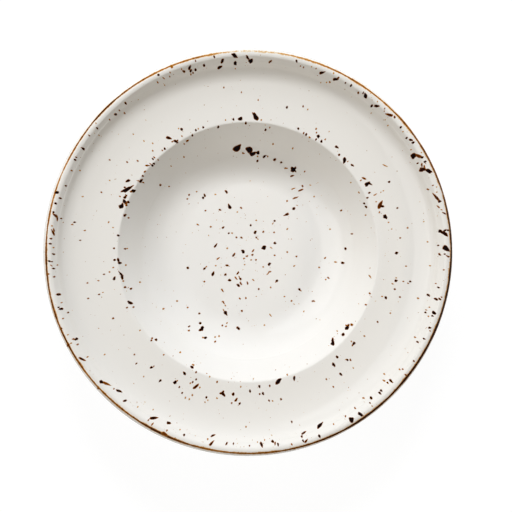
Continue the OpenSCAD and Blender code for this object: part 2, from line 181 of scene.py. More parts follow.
RIM_MARK_SHARES = [
    (86.3, 78.8, 2.6, 1.6, 2.3, 0), (84.2, 78.1, 0.2, 0, 0.8, 0.75), (86.1, 89.6, 0.4, 0, 0.7, 0.6),
    (74.9, 88, 0.6, 0, 1, 0.05), (69.2, 91.5, 0.5, 0.1, 0.8, 0.35), (67.2, 90.9, 0.3, 0, 0.7, 0.75),
    (67.7, 78.4, 0.2, 0.2, 1.1, 0.05), (63.6, 77, 0.6, 0, 1.1, 0.15), (64.8, 77.1, 0.5, 0.1, 0.9, 0.4),
    (61, 82.8, 0.3, 0, 0.9, 0.6), (60.1, 80.9, 0.4, 0, 0.7, 0.5), (61.6, 76.6, 0.1, 0.3, 1, 0.7),
    (58.6, 79.6, 0.3, 0.2, 1.6, 0.12), (58.8, 77.2, 0.6, 0, 0.9, 0.2), (56.3, 78, 0.5, 0.2, 1.2, 0.02),
    (55.5, 80.2, 0.5, 0, 0.7, 0.6), (50.2, 80.8, 0.3, -1.4, 1.2, 0.1), (46.8, 78.3, 0.4, 0, 1.1, 0.25),
    (43.9, 79, -1.5, -1.2, 1.7, 0), (42.2, 79.2, 0.4, 0, 0.6, 0.75), (40.1, 79.7, 0.4, -1.2, 1, 0.2),
    (56, 85.4, 0.3, 0, 0.5, 0.85), (31.8, 81.4, -1.2, 1.8, 1, 0.4), (32.4, 78.4, 0.7, 0, 0.7, 0.6),
    (29.6, 80, 1.9, 0.3, 1.8, 0), (29.5, 82, 0.8, -1.3, 0.9, 0.05), (32.9, 94.6, 1.7, -2.6, 0.6, 0.75),
    (26.4, 92.6, 0.3, 0, 1.1, 0.08), (16.4, 91.4, 0.5, 0, 0.8, 0.2), (8.6, 94.8, 0.3, 0, 0.9, 0.6),
    (5.3, 89.7, 0.5, 0, 0.7, 0.45), (26, 79.2, 0.6, 0, 0.9, 0.25), (24.4, 76.9, 0.6, 0, 0.9, 0.25),
    (24.2, 81.2, 2, 0.2, 0.6, 0.65), (24.3, 87.3, 0.3, 0, 0.6, 0.8), (24.2, 85.6, 0.3, 0, 0.5, 0.85),
    (22.8, 74, 0.3, -0.4, 0.9, 0.08), (21.1, 74.3, 0.3, -0.6, 1, 0.05), (18.6, 84, -1.9, 1, 1.2, 0.05),
    (18.8, 81.4, 2.6, 2.6, 1.9, 0.32), (21.4, 80.9, 0.3, 0, 0.6, 0.7), (16.7, 80.6, 0.3, 0, 0.7, 0.65),
    (14.7, 83.1, 0.6, -1, 1.8, 0.02), (11.9, 84.3, 0.4, 0, 0.7, 0.7), (9.1, 85.5, 0.2, 0, 0.6, 0.8),
    (28.5, 74, 0.2, -0.9, 0.6, 0.65), (34, 73, 0.2, 0, 0.7, 0.8), (17.4, 72.4, 0.4, 0, 0.7, 0.65),
    (81.8, 72.5, 0.6, -0.1, 1, 0.15), (80, 74.3, 0.4, 0, 0.6, 0.6), (76.9, 65.3, 0.3, 0, 0.9, 0.7),
    (66.6, 66.5, 0.4, 0, 0.8, 0.7), (176, 98.4, 0.7, 0, 0.6, 0.25), (172.4, 96.2, 0.9, 0.3, 0.6, 0.65),
    (157.8, 92.8, 0.4, 0, 0.8, 0.5), (146.3, 97.4, 0.5, 0, 0.7, 0.5), (134.2, 96.4, 0.6, 0, 0.5, 0.75),
    (98.3, 97.7, 0.5, 0, 0.7, 0.45), (92.3, 93.9, 0.6, 0, 0.6, 0.5), (152.6, 91.3, 0.4, 0, 0.6, 0.85),
    (143.3, 88.3, 0.5, 0, 0.8, 0.4), (133.1, 89.2, 0.6, 0, 0.6, 0.85), (140.4, 83.9, 0.5, 0, 0.8, 0.5),
    (131.2, 84.8, 0.5, 0, 0.7, 0.8), (167.8, 83.6, 0.2, 0.4, 0.8, 0.7), (169.7, 80.3, 0.4, 0, 0.6, 0.75),
    (118.3, 82, 0.3, 0.2, 1.4, 0.03), (119.3, 83.2, 0.4, 0, 0.6, 0.8), (125.1, 82.5, -1.8, -1.2, 1.5, 0.08),
    (133.2, 81.6, 0.3, 0, 0.8, 0.65), (148.9, 81.6, 0.9, 1.3, 1.4, 0.02), (152.3, 81.5, 0.5, 0, 0.9, 0.25),
    (156.5, 81.8, 0.5, 0, 0.7, 0.6), (154, 81.3, -3.2, -4.8, 1.9, 0), (151.8, 76.1, 0.5, 0.3, 1.8, 0.02),
    (152.8, 77.2, 0.4, 0, 0.8, 0.5), (155.9, 79, 0.2, 0.3, 1.5, 0.02), (155.1, 78.7, 0.4, -0.2, 1, 0.3),
    (160.3, 79.2, -0.3, -0.9, 2.3, 0), (157.8, 78.1, 0.6, -0.3, 1.8, 0.03), (158, 77, 0.5, 0.4, 1.6, 0.4),
    (157.3, 76, 0.4, 0, 1.3, 0.06), (158.8, 76.3, 0.4, 0.5, 1, 0.45), (163.3, 75.4, 0.2, 0.3, 1.5, 0.18),
    (164, 72.9, 0.2, 0, 0.9, 0.5), (172.7, 76.5, 0.6, 0, 1.1, 0.05), (178.4, 78.6, 0.2, 0, 1, 0.3),
    (178.5, 72, 0.5, 0, 0.9, 0.35), (178.3, 70.8, 0.4, 0, 0.6, 0.75), (146.8, 75.7, -0.3, -1.4, 1.4, 0.03),
    (146.9, 76.7, 0.5, 0.3, 0.7, 0.6), (146.3, 73.7, 0.5, 0.2, 0.8, 0.5), (144.1, 76.2, 0.2, 0, 1.1, 0.25),
    (139.7, 78.7, -1.7, -1.4, 0.9, 0.4), (142.3, 76.9, -0.2, -0.9, 0.9, 0.5),
    (137.8, 75.7, 0.4, 0, 1.2, 0.05), (136.7, 75.7, 0.5, 0.1, 1, 0.08), (137.9, 76.9, 1, 0, 0.5, 0.6),
    (135.6, 77.9, 0.8, 0, 0.8, 0.12), (134.7, 77.8, 1.1, 0, 0.6, 0.5), (134.2, 75.3, 0.9, 0, 0.5, 0.6),
    (130.1, 78, 0.4, 0, 0.7, 0.45), (128.8, 77.8, 0.4, 0, 1.1, 0.02), (123.4, 78.5, -2.1, -1.1, 1.3, 0.04),
    (124.3, 78.6, 0.2, 0.3, 0.8, 0.45), (122.4, 77.3, 0.4, -0.4, 0.8, 0.35),
    (118.9, 74.5, 0.1, -1.1, 1, 0.45), (120.5, 73.7, 0.3, 0, 0.7, 0.65), (115.5, 75.9, 0.5, -0.2, 1, 0.2),
    (113.1, 77.9, 0.3, 0, 1, 0.05), (111.9, 78, 0.5, 0, 0.6, 0.65), (109.7, 77.8, 0.4, 0, 1, 0.1),
    (103.4, 75.6, 0.2, -0.2, 1.3, 0.06), (96.2, 78.5, 0.3, 0, 1.1, 0.05), (99.6, 78.7, 0.3, 0, 0.7, 0.7),
    (93.4, 78.5, 0.3, -0.6, 1.9, 0), (90.9, 75.8, 0.4, 0, 1.2, 0.12), (119.6, 78.3, 0.4, 0.1, 0.7, 0.65),
    (142.4, 64.8, 0.2, 0, 0.9, 0.5), (123.9, 67.4, 0.3, 0, 0.8, 0.7), (131.8, 67.8, 0.3, 0, 0.6, 0.75),
    (267, 89.1, 0.6, -0.3, 1, 0.15), (263.9, 89.3, 0.4, 0, 0.8, 0.45), (265.2, 88.1, -1.7, 0.9, 1.1, 0.3),
    (264.2, 83.9, 0.6, -0.2, 1.4, 0.04), (259.9, 84.7, 0.9, 1.2, 1.5, 0.05),
    (259.8, 84.6, -1.3, 0.3, 1.3, 0.15), (259.7, 84.7, 0, -1, 1.3, 0.2), (258, 87.9, 0.2, 0.3, 0.8, 0.8),
    (254.1, 88.8, 0.4, 0, 1, 0.04), (254, 91.8, 0.3, 0.3, 0.6, 0.75), (254.9, 90.2, 0.4, 0, 0.6, 0.8),
    (250.5, 84.5, 0.3, 0, 0.8, 0.8), (248.8, 90.2, 0.4, 0, 0.9, 0.65), (248.3, 92.9, 0.7, 0, 0.7, 0.75),
    (246.8, 93.2, 0.4, 0, 0.8, 0.7), (245, 91.3, 0.5, 0, 0.8, 0.25), (248.6, 85.7, -2.4, 1.3, 1.4, 0.22),
    (248.4, 85.7, 0.7, -0.1, 1.1, 0.3), (247, 83, 0.4, 0, 0.9, 0.25), (246.3, 84.2, 0.3, 0, 0.8, 0.7),
    (247.9, 80.8, 0.3, 0, 0.9, 0.2), (243.1, 88.9, 0.5, 0, 0.8, 0.3), (240.9, 87.6, 0.6, -0.3, 1.6, 0.03),
    (241.2, 86.7, -0.5, 0.2, 0.7, 0.6), (242.7, 80.8, -0.5, -0.9, 1.4, 0.03),
    (246.7, 76.8, 0.5, 0, 0.9, 0.35), (244.4, 75.4, -0.1, -0.8, 1.4, 0.02),
    (244.5, 73.8, 0.1, -1, 0.9, 0.7), (256.7, 78.4, 0.5, -0.1, 0.9, 0.5), (253, 76.6, 0.4, 0, 0.7, 0.8),
    (267, 79.4, 0.2, 0, 0.8, 0.75), (235.8, 91.1, 1.2, -0.2, 1, 0.04), (230.1, 95.3, 0.4, 0, 0.6, 0.7),
    (230.2, 88.2, 0.7, -0.3, 1.2, 0.05), (230.5, 87.3, -0.6, 0.1, 0.5, 0.5), (225, 92.4, 0.8, 0, 0.7, 0.3),
    (222.1, 89.8, 0.3, 0, 0.8, 0.45), (216, 78.3, 0.3, 0, 0.7, 0.75), (230.7, 78, 0.3, 0, 0.8, 0.65),
    (222.5, 76.8, 0.4, 0, 0.9, 0.35), (222, 75.7, 0.2, 0, 1, 0.5), (223.8, 74.6, 0.2, -0.3, 1.3, 0.18),
    (236, 71.1, 0.3, 0, 0.9, 0.75), (206.2, 88.1, 0.4, 0, 1, 0.45), (204.7, 78, 0.5, 0, 0.8, 0.35),
    (205.7, 74.5, 0.3, 0, 0.9, 0.5), (202.5, 76, -0.2, 0.9, 1.2, 0.05), (203.2, 75.8, -1.2, 0.8, 1.5, 0.02),
    (195.9, 90.7, 0.4, 0, 0.8, 0.3), (195.6, 88.2, 0.5, 0, 0.5, 0.8), (196.2, 97.4, 0.7, 0, 0.7, 0.4),
    (190.9, 95.8, 0.4, 0, 0.8, 0.5), (190.9, 89.2, 0.5, -0.2, 0.7, 0.6), (188.8, 85.3, 0.5, 0, 0.8, 0.3),
    (188.2, 82, 0.3, 0, 0.8, 0.65), (191.5, 80.3, -0.7, -1, 1.3, 0.02), (186.5, 79.4, 0.4, 0.2, 0.7, 0.6),
    (183.4, 78.2, 0.5, 0, 1.1, 0.03), (183.1, 76.4, -0.3, 1.5, 1.3, 0.08), (184.9, 75.2, 0.9, 0, 1.4, 0.04),
    (190.8, 75.2, 0.3, 1.6, 1.5, 0.05), (190.7, 75.2, 1.4, -2.8, 1.1, 0.04),
    (193.1, 75.1, 0.2, 0, 0.9, 0.65), (196, 75, 0.2, 0, 1.2, 0.3), (197.4, 71.9, 0.4, 0.1, 1.1, 0.3),
    (186.1, 72.1, 0.2, 0, 0.9, 0.65), (195.6, 65.9, 0.2, 0, 0.9, 0.75), (359.6, 87.2, 0.4, 0.1, 1.5, 0.02),
    (354.9, 93.1, 0.5, 0, 0.7, 0.6), (349.7, 96.7, 0.6, 0, 0.9, 0.12), (349, 95.6, 0.7, -0.1, 0.6, 0.5),
    (349.3, 92.8, 0.4, 0, 0.7, 0.5), (343.5, 93, 0.5, 0.1, 0.8, 0.35), (349, 88.4, 0.6, 0.1, 1.3, 0.04),
    (350.1, 88.3, 0.4, 0, 0.6, 0.7), (345.8, 88.9, 0.4, 0, 0.9, 0.3), (347.6, 86.7, 0.9, 0, 0.6, 0.7),
    (336.8, 91, 0.3, 0, 0.7, 0.7), (341.8, 85.3, 0.3, -0.4, 1.3, 0.06), (341.7, 82.9, 0.4, 0, 0.7, 0.75),
    (331.7, 86.5, 0.3, 0, 0.9, 0.3), (324.2, 84.3, 0.4, 0.1, 0.8, 0.65),
    (319.6, 82.3, 0.1, -1.3, 1.3, 0.04), (318.4, 82.4, 0.1, -0.4, 0.9, 0.5),
    (319.2, 80.3, 0.4, 0, 0.7, 0.65), (313.6, 87.3, 0.6, -0.1, 0.9, 0.35), (312.7, 86.2, 0.3, 0, 1.1, 0.02),
    (312.3, 92, 0.4, 0, 0.6, 0.8), (307.2, 89.8, 1.2, 0.2, 1.1, 0.05), (307.3, 82.8, 1.3, 0, 1.5, 0.06),
    (310.4, 80.9, 0.4, 0, 1.3, 0), (302.4, 93.8, 0.4, 0, 0.8, 0.5), (301.7, 87.8, 0.4, 0, 0.8, 0.5),
    (290.4, 78.4, 1.8, -0.7, 1.2, 0.04), (284.1, 77.5, 1.7, -2.6, 1.9, 0), (282.7, 88.7, 0.3, 0, 1, 0.25),
    (279.4, 88.8, 0.3, 0.2, 0.7, 0.7), (278.1, 88.2, 0.4, 0.1, 0.9, 0.3),
    (276.1, 83.6, 0.5, 0.1, 1.2, 0.06), (274.8, 83.8, 0.3, -0.1, 0.9, 0.3),
    (279.3, 79.6, 0.6, 0, 0.9, 0.35), (274.9, 79.1, 0.8, 0.1, 1.1, 0.03), (270.9, 81.5, 0.9, 0, 1, 0.1),
    (287.8, 75.7, 0.4, 0, 0.8, 0.7), (341.3, 75.4, 0.6, -0.1, 0.9, 0.5), (335.9, 75.8, 0.4, 0.1, 0.9, 0.5),
    (349.1, 72.6, 1.5, -1.3, 0.7, 0.65), (325, 74.5, 0.2, 0, 1.5, 0.45), (322.3, 73.4, 0.1, 0.9, 1.8, 0.02),
    (323.6, 73.2, 0, 0.8, 1.2, 0.3), (323.3, 72, 0.4, 0, 0.8, 0.5), (319.3, 74.1, 0.1, -0.5, 1.5, 0.02),
    (312.8, 73.5, -0.3, 0.5, 2, 0), (313.3, 72.9, -1.7, 1.5, 1.3, 0.05), (318.5, 70.1, 0.3, 0, 0.7, 0.85),
    (96.6, 61.2, 1, -1.7, 3.1, 0), (89.5, 60.5, -0.3, -0.7, 3.3, 0), (87.9, 57.9, 0.5, -1.6, 2.2, 0.02),
    (84.2, 58.8, 0.4, 0, 1.7, 0), (93, 58.5, -0.2, -0.7, 0.9, 0.5), (84.2, 56.7, 0.3, 0, 0.8, 0.7),
    (84.1, 53.9, 0.5, -0.2, 1.1, 0.2), (80.6, 56.8, 1.1, -1, 1.1, 0.04), (78.3, 57.5, 0.4, 0, 0.7, 0.5),
    (74, 56.7, 0.3, -0.3, 1.4, 0.18), (69.8, 56.3, 0.3, 0, 0.8, 0.35), (66.2, 54, 0.6, -0.4, 0.7, 0.55),
    (142.6, 64.8, 0.3, 0, 0.7, 0.6), (54.8, 58, 0.4, 0, 0.7, 0.5), (24, 60, 0.5, 0.1, 0.9, 0.4),
    (9.9, 62, 0.6, 0, 0.8, 0.4), (2.2, 57.6, 0, -0.5, 1.2, 0.12), (353.5, 56, 0.7, 0, 1.3, 0.08),
    (353.5, 51.6, 1, 0, 0.8, 0.75), (250, 56.1, 0.3, 0, 0.8, 0.45), (243.9, 56.2, 0.5, -0.2, 1.1, 0.04),
    (242.3, 56.9, 0.3, -0.2, 0.7, 0.65), (251, 52.3, 0.4, 0, 0.7, 0.7), (213.9, 59.7, 0.3, 0, 0.7, 0.65),
]

# Marks inside the well: how far right of the axis and how far up (millimetres), how far the tail
# runs right and up, the width, and the share by which the iron has faded
WELL_MARK_SHARES = [
    (26.2, 47.4, 1.9, 1.7, 1.7, 0), (26.1, 49, 1.9, -1.9, 1.6, 0), (25.5, 44.2, 1.6, 0.5, 0.9, 0.3),
    (22.4, 48.8, 1.1, 0.1, 0.6, 0.65), (19.7, 52.3, 0.3, 0, 1, 0.2), (32.2, 38.7, 0.3, -0.6, 0.9, 0.4),
    (30.2, 35.7, 2.6, 1, 0.9, 0.38), (26, 36.6, 1.8, 0.7, 0.7, 0.7), (26.8, 31.1, 3, 1.1, 0.8, 0.5),
    (36.5, 39.1, 0.8, -0.2, 0.5, 0.85), (39, 32.3, 0.2, 0.1, 0.8, 0.75), (23.2, 29.7, 0.2, 0.1, 0.9, 0.6),
    (27, 25.1, 0.5, 0.4, 1.4, 0.12), (24, 22.2, -2.4, -0.9, 1.2, 0.2), (15.9, 18.1, 0.2, 0, 1, 0.12),
    (14.7, 16.2, 0.5, 0.8, 0.5, 0.75), (23.2, 13.1, 0.5, 0.5, 0.7, 0.7), (15.6, 11.3, 0.1, 0.1, 0.9, 0.5),
    (9.2, 11.6, 0.3, 0.2, 1, 0.45), (4.4, 11.1, 0.4, 0.7, 1.4, 0), (1.9, 15.4, 0.1, 0.2, 1, 0.08),
    (5.1, 18.4, 0.2, 0, 0.8, 0.75), (5.2, 8.4, 0.1, -0.2, 0.9, 0.3), (6, 7.6, 0.4, -0.5, 0.5, 0.75),
    (9.4, 2.2, 0.7, 0.5, 2, 0), (16, 5.1, 0.3, -0.1, 1.3, 0.12), (13.5, 2.6, 1, -0.7, 0.5, 0.75),
    (15.9, -2.1, 0.2, 0, 0.9, 0.55), (23.3, -0.2, 0.2, 0, 0.9, 0.6), (28.7, -2.8, 0.2, 0.1, 0.9, 0.5),
    (48.3, 13.2, 0.3, 0, 0.8, 0.85), (45.3, -3.9, 0.5, 0.5, 0.8, 0.55), (42, -9.2, 0.2, 0, 0.9, 0.6),
    (27.2, -8.5, 0.6, 0.4, 0.7, 0.7), (12.7, -7.5, 0.4, 0.5, 1.4, 0.02), (12.6, -11.9, 1.2, 0.3, 0.8, 0.5),
    (12.4, -12.5, -1.1, -1.1, 0.5, 0.7), (17.4, -17, -0.3, -0.2, 1.3, 0.08),
    (16.9, -17.5, -0.5, -0.5, 0.5, 0.6), (13.6, -20.8, 0.1, -0.3, 0.8, 0.65),
    (6.6, -22, 0.1, 0.3, 0.9, 0.3), (3.1, -16.2, 0.9, -0.9, 0.6, 0.7), (0.2, -18.9, -0.3, 1.2, 0.8, 0.4),
    (-0.5, -2.7, 0.6, 0.3, 0.9, 0.5), (2.8, -1.9, 0.4, 0.2, 1, 0.4), (2.9, 0, 1, 1.3, 0.7, 0.5),
    (5, -4.8, 0.1, 0.1, 0.9, 0.5), (2.1, -4.8, 0.2, 0, 0.8, 0.7), (-2.1, -4, 0.3, 0.1, 0.9, 0.65),
    (-2.3, -0.1, -0.5, 0.5, 1.6, 0), (-1.7, -7.6, 0.2, 0, 0.7, 0.75), (9.2, -8.9, 0.2, 0, 0.8, 0.7),
    (-8.4, -2.4, 1, 1.3, 1.1, 0.28), (-17.8, -4.5, 1.5, 1.2, 0.7, 0.6), (-19.3, 2.7, 1.5, 2, 0.9, 0.18),
    (-11.9, 2, 0.2, 0.1, 0.9, 0.75), (-6.5, 8.4, 0.2, 0, 0.9, 0.4), (-3.8, 8.5, 0.8, -0.5, 0.8, 0.4),
    (-11, 10.8, 0.2, 0.1, 0.9, 0.15), (-9.1, 10.9, 0.3, 0, 0.8, 0.75), (-14.5, 13.9, 0.6, 0.6, 1, 0.3),
    (-21.6, 14.6, 0.3, 0, 0.9, 0.6), (-29.5, 16.1, 1, -0.5, 0.7, 0.65), (-16.3, 24.7, 0.6, -0.3, 1, 0.35),
    (-24.7, 24.1, 0.3, 0, 0.8, 0.5), (-10.2, 25.8, -0.6, 1.4, 1.6, 0.12), (-3.9, 25.9, 0.5, -0.4, 0.9, 0.5),
    (-6, 23.3, 0.3, 0, 0.7, 0.8), (-12, 34.7, -0.8, 1, 1.2, 0.2), (-26, 31.6, 0.1, 0.1, 1.2, 0.02),
    (-24.8, 32.6, -0.5, 1, 1, 0.12), (-34.2, 33.2, 0.1, 0.3, 0.9, 0.4), (-35.3, 30.9, 0.3, 0.1, 0.8, 0.6),
    (-29.8, 35.2, 0.2, 0, 0.7, 0.7), (-18.9, 33.6, 0.3, 0, 0.8, 0.85), (-45.9, 38.2, 0.2, 0, 0.7, 0.5),
    (-51, 39.1, 0.2, -0.3, 1, 0.25), (-35.1, -9.4, 0.4, -0.2, 1.2, 0.15), (-25.5, -10.2, 0.8, 0.7, 1, 0.2),
    (-24.2, -8.9, 0.3, 0.3, 0.7, 0.65), (-20.5, -13.7, 0.8, 1.7, 1.3, 0.05),
    (-13.1, -13.6, 0.5, 0.5, 1, 0.25), (-12.4, -7.9, 1.2, -0.3, 1, 0.3), (-18.7, -8.2, 0.3, 0, 0.7, 0.75),
    (-10.6, -16.7, 0.4, 0, 1.4, 0.12), (-25.3, -17.5, 0.2, 0, 0.9, 0.5), (-5.2, -12, -0.9, -1.2, 0.9, 0.32),
    (-7.2, -14.9, 1.2, -1.4, 0.8, 0.55), (-4, -16, -0.3, 0.3, 1.2, 0.22),
    (-4.6, -15.1, -0.4, 0.8, 0.5, 0.6), (-4.2, -18.1, 0.8, -1.2, 0.9, 0.4),
    (-5.6, -19.4, 0.7, -0.8, 1.3, 0.1), (-15.1, -22, 1, -1.5, 0.8, 0.55),
    (-4.6, -27.3, 0.4, -0.4, 0.8, 0.55), (-0.9, -27.3, 0, 0.3, 0.9, 0.55),
    (-14.4, -29.1, 0.9, -1.4, 0.8, 0.5), (-13.1, -31.3, 0.4, -0.5, 0.6, 0.65),
    (-13.1, -35.4, 0.8, -1.2, 1.6, 0.15), (-13.9, -34.4, -0.3, 0.6, 0.6, 0.7),
    (-3.3, -34.6, 0.2, -0.3, 1, 0.4), (-28.3, -36.2, 0.3, 0, 1, 0.3), (-35.1, -32.7, 0.2, 0, 0.9, 0.6),
    (-41.3, -28.9, 0.3, 0, 0.9, 0.7), (-49.4, -33.5, 0.3, -0.1, 0.8, 0.75),
    (-27.7, -41.9, 0.2, 0, 1.3, 0.1), (-34.5, -44, 0.9, 0.6, 0.7, 0.3), (-34.4, -46.2, 0.3, 0.1, 1, 0.55),
    (-26.5, -45.1, 0.2, 0.7, 1.7, 0), (-26.6, -45.4, -1.5, -0.7, 1.3, 0.02),
    (-24.8, -50.5, 0.4, 0.2, 1.2, 0.04), (-26.3, -50.4, 0.6, 0, 0.6, 0.75),
    (-14.7, -43.3, 0.1, 0.2, 0.9, 0.45), (-12.6, -43.8, 0.2, 0.1, 0.8, 0.6),
    (-12.2, -42, 0.5, 0.5, 0.6, 0.7), (-5, -45.2, -0.9, 0.8, 1.4, 0.15), (-19, -50, 0.2, 0, 0.8, 0.75),
    (-16.7, -49.6, 0.2, 0, 0.8, 0.75), (-19.1, -52.8, 0.3, 0, 0.8, 0.55), (9.9, -43.1, 0.2, 0.1, 0.8, 0.8),
    (13, -36.6, 1.2, -1.4, 0.6, 0.8), (25.8, -28.9, 0.2, 0.1, 0.9, 0.6), (21.6, -26.3, 0.3, 0, 0.7, 0.65),
    (30.4, -22, 0.3, -0.3, 1.2, 0.1), (31, -22.6, 0.7, -0.5, 0.5, 0.6), (38.2, -29, 0.6, 0.2, 0.9, 0.4),
    (39.1, -28.8, 0.5, -0.5, 0.5, 0.65), (47.1, -15.1, 0.7, -0.5, 0.8, 0.5),
    (45.8, -16.3, 0.2, 0, 0.8, 0.7), (33, -35.1, 0.2, 0.3, 0.7, 0.8),
]

# The well's floor is farther from the eye than the rim and reads a little small and to one side
WELL_MARK_SCALE = 1.008
WELL_MARK_SHIFT = (-0.3, 0.2)

# Stray pinpoints that the eye takes as one scatter: from and to this distance from the axis, how
# many, and the smallest and largest width, all but the count in millimetres
PINPOINT_ZONES = [
    (0, 45, 120, 0.25, 0.6), (45, 71, 90, 0.2, 0.5), (71, 82, 120, 0.25, 0.6),
    (82, 108, 150, 0.2, 0.5), (108, 118.6, 150, 0.25, 0.6),
]

# Soft boxes that light the plate: azimuth and elevation in degrees, distance, width and height in
# metres, radiance, and colour
COOL, WARM, AMBER = (0.965, 1, 1.05), (1.045, 1, 0.93), (1.07, 1, 0.88)
LIGHT_BOXES = [
    ("key_box", 92, 35, 5, 2.8, 0.75, 41, COOL),
    ("left_box", 200, 41, 4, 3.5, 1.05, 5.2, WARM),
    ("low_box", 230, 23, 4, 5.3, 1.1, 1.7, WARM),
    ("right_box", 351, 25, 1.6, 1.5, 0.17, 7, AMBER),
]

# Boxes over the plate that only its gloss shows: azimuth in degrees, and radiance
GLOSS_BOXES = [("left_gloss_box", 170, 1.1), ("lower_gloss_box", 287, 0.6)]


class PlateForm(bpy.types.PropertyGroup):
    """Sizes of the jiggered plate and of the coats on it"""

    diameter: FloatProperty(
        name="Diameter", description="Across the lip", unit="LENGTH",
        default=CAD_HIGH.x - CAD_LOW.x)
    height: FloatProperty(
        name="Height", description="From the table to the lip's top", unit="LENGTH",
        default=CAD_HIGH.z - CAD_LOW.z)
    lip_radius: FloatProperty(
        name="Lip Radius", description="Radius of the rolled lip", unit="LENGTH", default=3.2 * MM)
    rim_width: FloatProperty(
        name="Rim Width", description="From the lip's outside to the shoulder", unit="LENGTH",
        default=43.5 * MM)
    rim_thickness: FloatProperty(
        name="Rim Thickness", description="Through the level ring", unit="LENGTH", default=4.6 * MM)
    flare_height: FloatProperty(
        name="Flare Height", description="From the level ring to the lip's top", unit="LENGTH",
        default=11 * MM)
    flare_slope: FloatProperty(
        name="Flare Slope", description="Of the face, under the lip", subtype="ANGLE",
        default=math.radians(42))
    under_slope: FloatProperty(
        name="Under Slope", description="Of the flare's underside", subtype="ANGLE",
        default=math.radians(27))
    flare_bend: FloatProperty(
        name="Flare Bend", description="How far up the flare its bend reaches", unit="LENGTH",
        default=8 * MM)
    rise_share: FloatProperty(
        name="Rise Share", description="Share of the ring over which the rim rises", default=0.75)
    floor_height: FloatProperty(
        name="Floor Height", description="Of the well, above the table", unit="LENGTH",
        default=7.1 * MM)
    wall_slope: FloatProperty(
        name="Wall Slope", description="Of the well's wall", subtype="ANGLE",
        default=math.radians(43))
    bowl_radius: FloatProperty(
        name="Bowl Radius", description="Sweep from the floor into the wall", unit="LENGTH",
        default=36 * MM)
    shoulder_radius: FloatProperty(
        name="Shoulder Radius", description="Where the wall breaks into the rim", unit="LENGTH",
        default=2 * MM)
    wall_thickness: FloatProperty(
        name="Wall Thickness", description="Through the wall", unit="LENGTH", default=5 * MM)
    under_radius: FloatProperty(
        name="Under Radius", description="Sweep outside, between wall and rim", unit="LENGTH",
        default=9 * MM)
    foot_out: FloatProperty(
        name="Foot Out", description="Foot's outside beyond the floor's edge", unit="LENGTH",
        default=17.2 * MM)
    foot_width: FloatProperty(
        name="Foot Width", description="Of the foot ring", unit="LENGTH", default=5.6 * MM)
    foot_edge_radius: FloatProperty(
        name="Foot Edge Radius", description="Of the bare edges", unit="LENGTH", default=0.8 * MM)
    foot_lean: FloatProperty(
        name="Foot Lean", description="How far the outer side leans out", unit="LENGTH",
        default=0.7 * MM)
    foot_sweep_radius: FloatProperty(
        name="Foot Sweep", description="Sweep above the outer side", unit="LENGTH", default=3 * MM)
    hollow_height: FloatProperty(
        name="Hollow Height", description="Of the hollow inside the foot", unit="LENGTH",
        default=2.8 * MM)
    hollow_lean: FloatProperty(
        name="Hollow Lean", description="How far the inner side leans in", unit="LENGTH",
        default=0.4 * MM)
    hollow_sweep_radius: FloatProperty(
        name="Hollow Sweep", description="Sweep above the inner side", unit="LENGTH",
        default=2 * MM)
    glaze_thickness: FloatProperty(
        name="Glaze Thickness", description="Of the glaze and the oxide line", unit="LENGTH",
        default=0.4 * MM)
    glaze_bead: FloatProperty(
        name="Glaze Bead", description="Length over which the glaze rolls down to the bare foot",
        unit="LENGTH", default=0.6 * MM)
    warp: FloatProperty(
        name="Warp", description="How far the lip dipped in the kiln", unit="LENGTH",
        default=0.12 * MM)
    ovality: FloatProperty(
        name="Ovality", description="How far the lip drew in across one axis", unit="LENGTH",
        default=0.4 * MM)
    crease_height: FloatProperty(
        name="Crease Height", description="Of the fine tool mark at the wall's foot",
        unit="LENGTH", default=0.045 * MM)
    lip_crease_height: FloatProperty(
        name="Lip Crease Height", description="Of the fine tool mark inside the lip's roll",
        unit="LENGTH", default=0.08 * MM)
    flare_hollow: FloatProperty(
        name="Flare Hollow", description="How far the flare's face hollows below the tool mark",
        unit="LENGTH", default=0.15 * MM)
    columns: IntProperty(
        name="Columns", description="Mesh columns round the plate", default=800, min=60)


class GlazeFinish(bpy.types.PropertyGroup):
    """Colours and surface of the fired materials"""

    glaze: FloatVectorProperty(
        name="Glaze", description="Warm white, where the coat lies thick", subtype="COLOR",
        default=(0.800, 0.779, 0.742))
    thin_glaze: FloatVectorProperty(
        name="Thin Glaze", description="Where the clay warms the coat", subtype="COLOR",
        default=(0.776, 0.748, 0.698))
    clay: FloatVectorProperty(
        name="Clay", description="Bare fired clay", subtype="COLOR", default=(0.68, 0.58, 0.46))
    gloss: FloatProperty(
        name="Roughness", description="Of the fired glaze", subtype="FACTOR", default=0.05)
    fleck_relief: FloatProperty(
        name="Fleck Relief", description="How far the burnt iron stands up", unit="LENGTH",
        default=0.06 * MM)
    fleck_spread: FloatProperty(
        name="Fleck Spread", description="Growth of a fleck's width in the melt", default=1.15)
    fleck_bleed: FloatProperty(
        name="Fleck Bleed", description="Width that a fleck bled on top of its growth",
        unit="LENGTH", default=0.22 * MM)
    fleck_depth: FloatProperty(
        name="Fleck Depth", description="How deep it sits in the glaze", unit="LENGTH",
        default=0.15 * MM)
    seed: IntProperty(
        name="Seed", description="Of the stray pinpoints and ragged outlines", default=11)


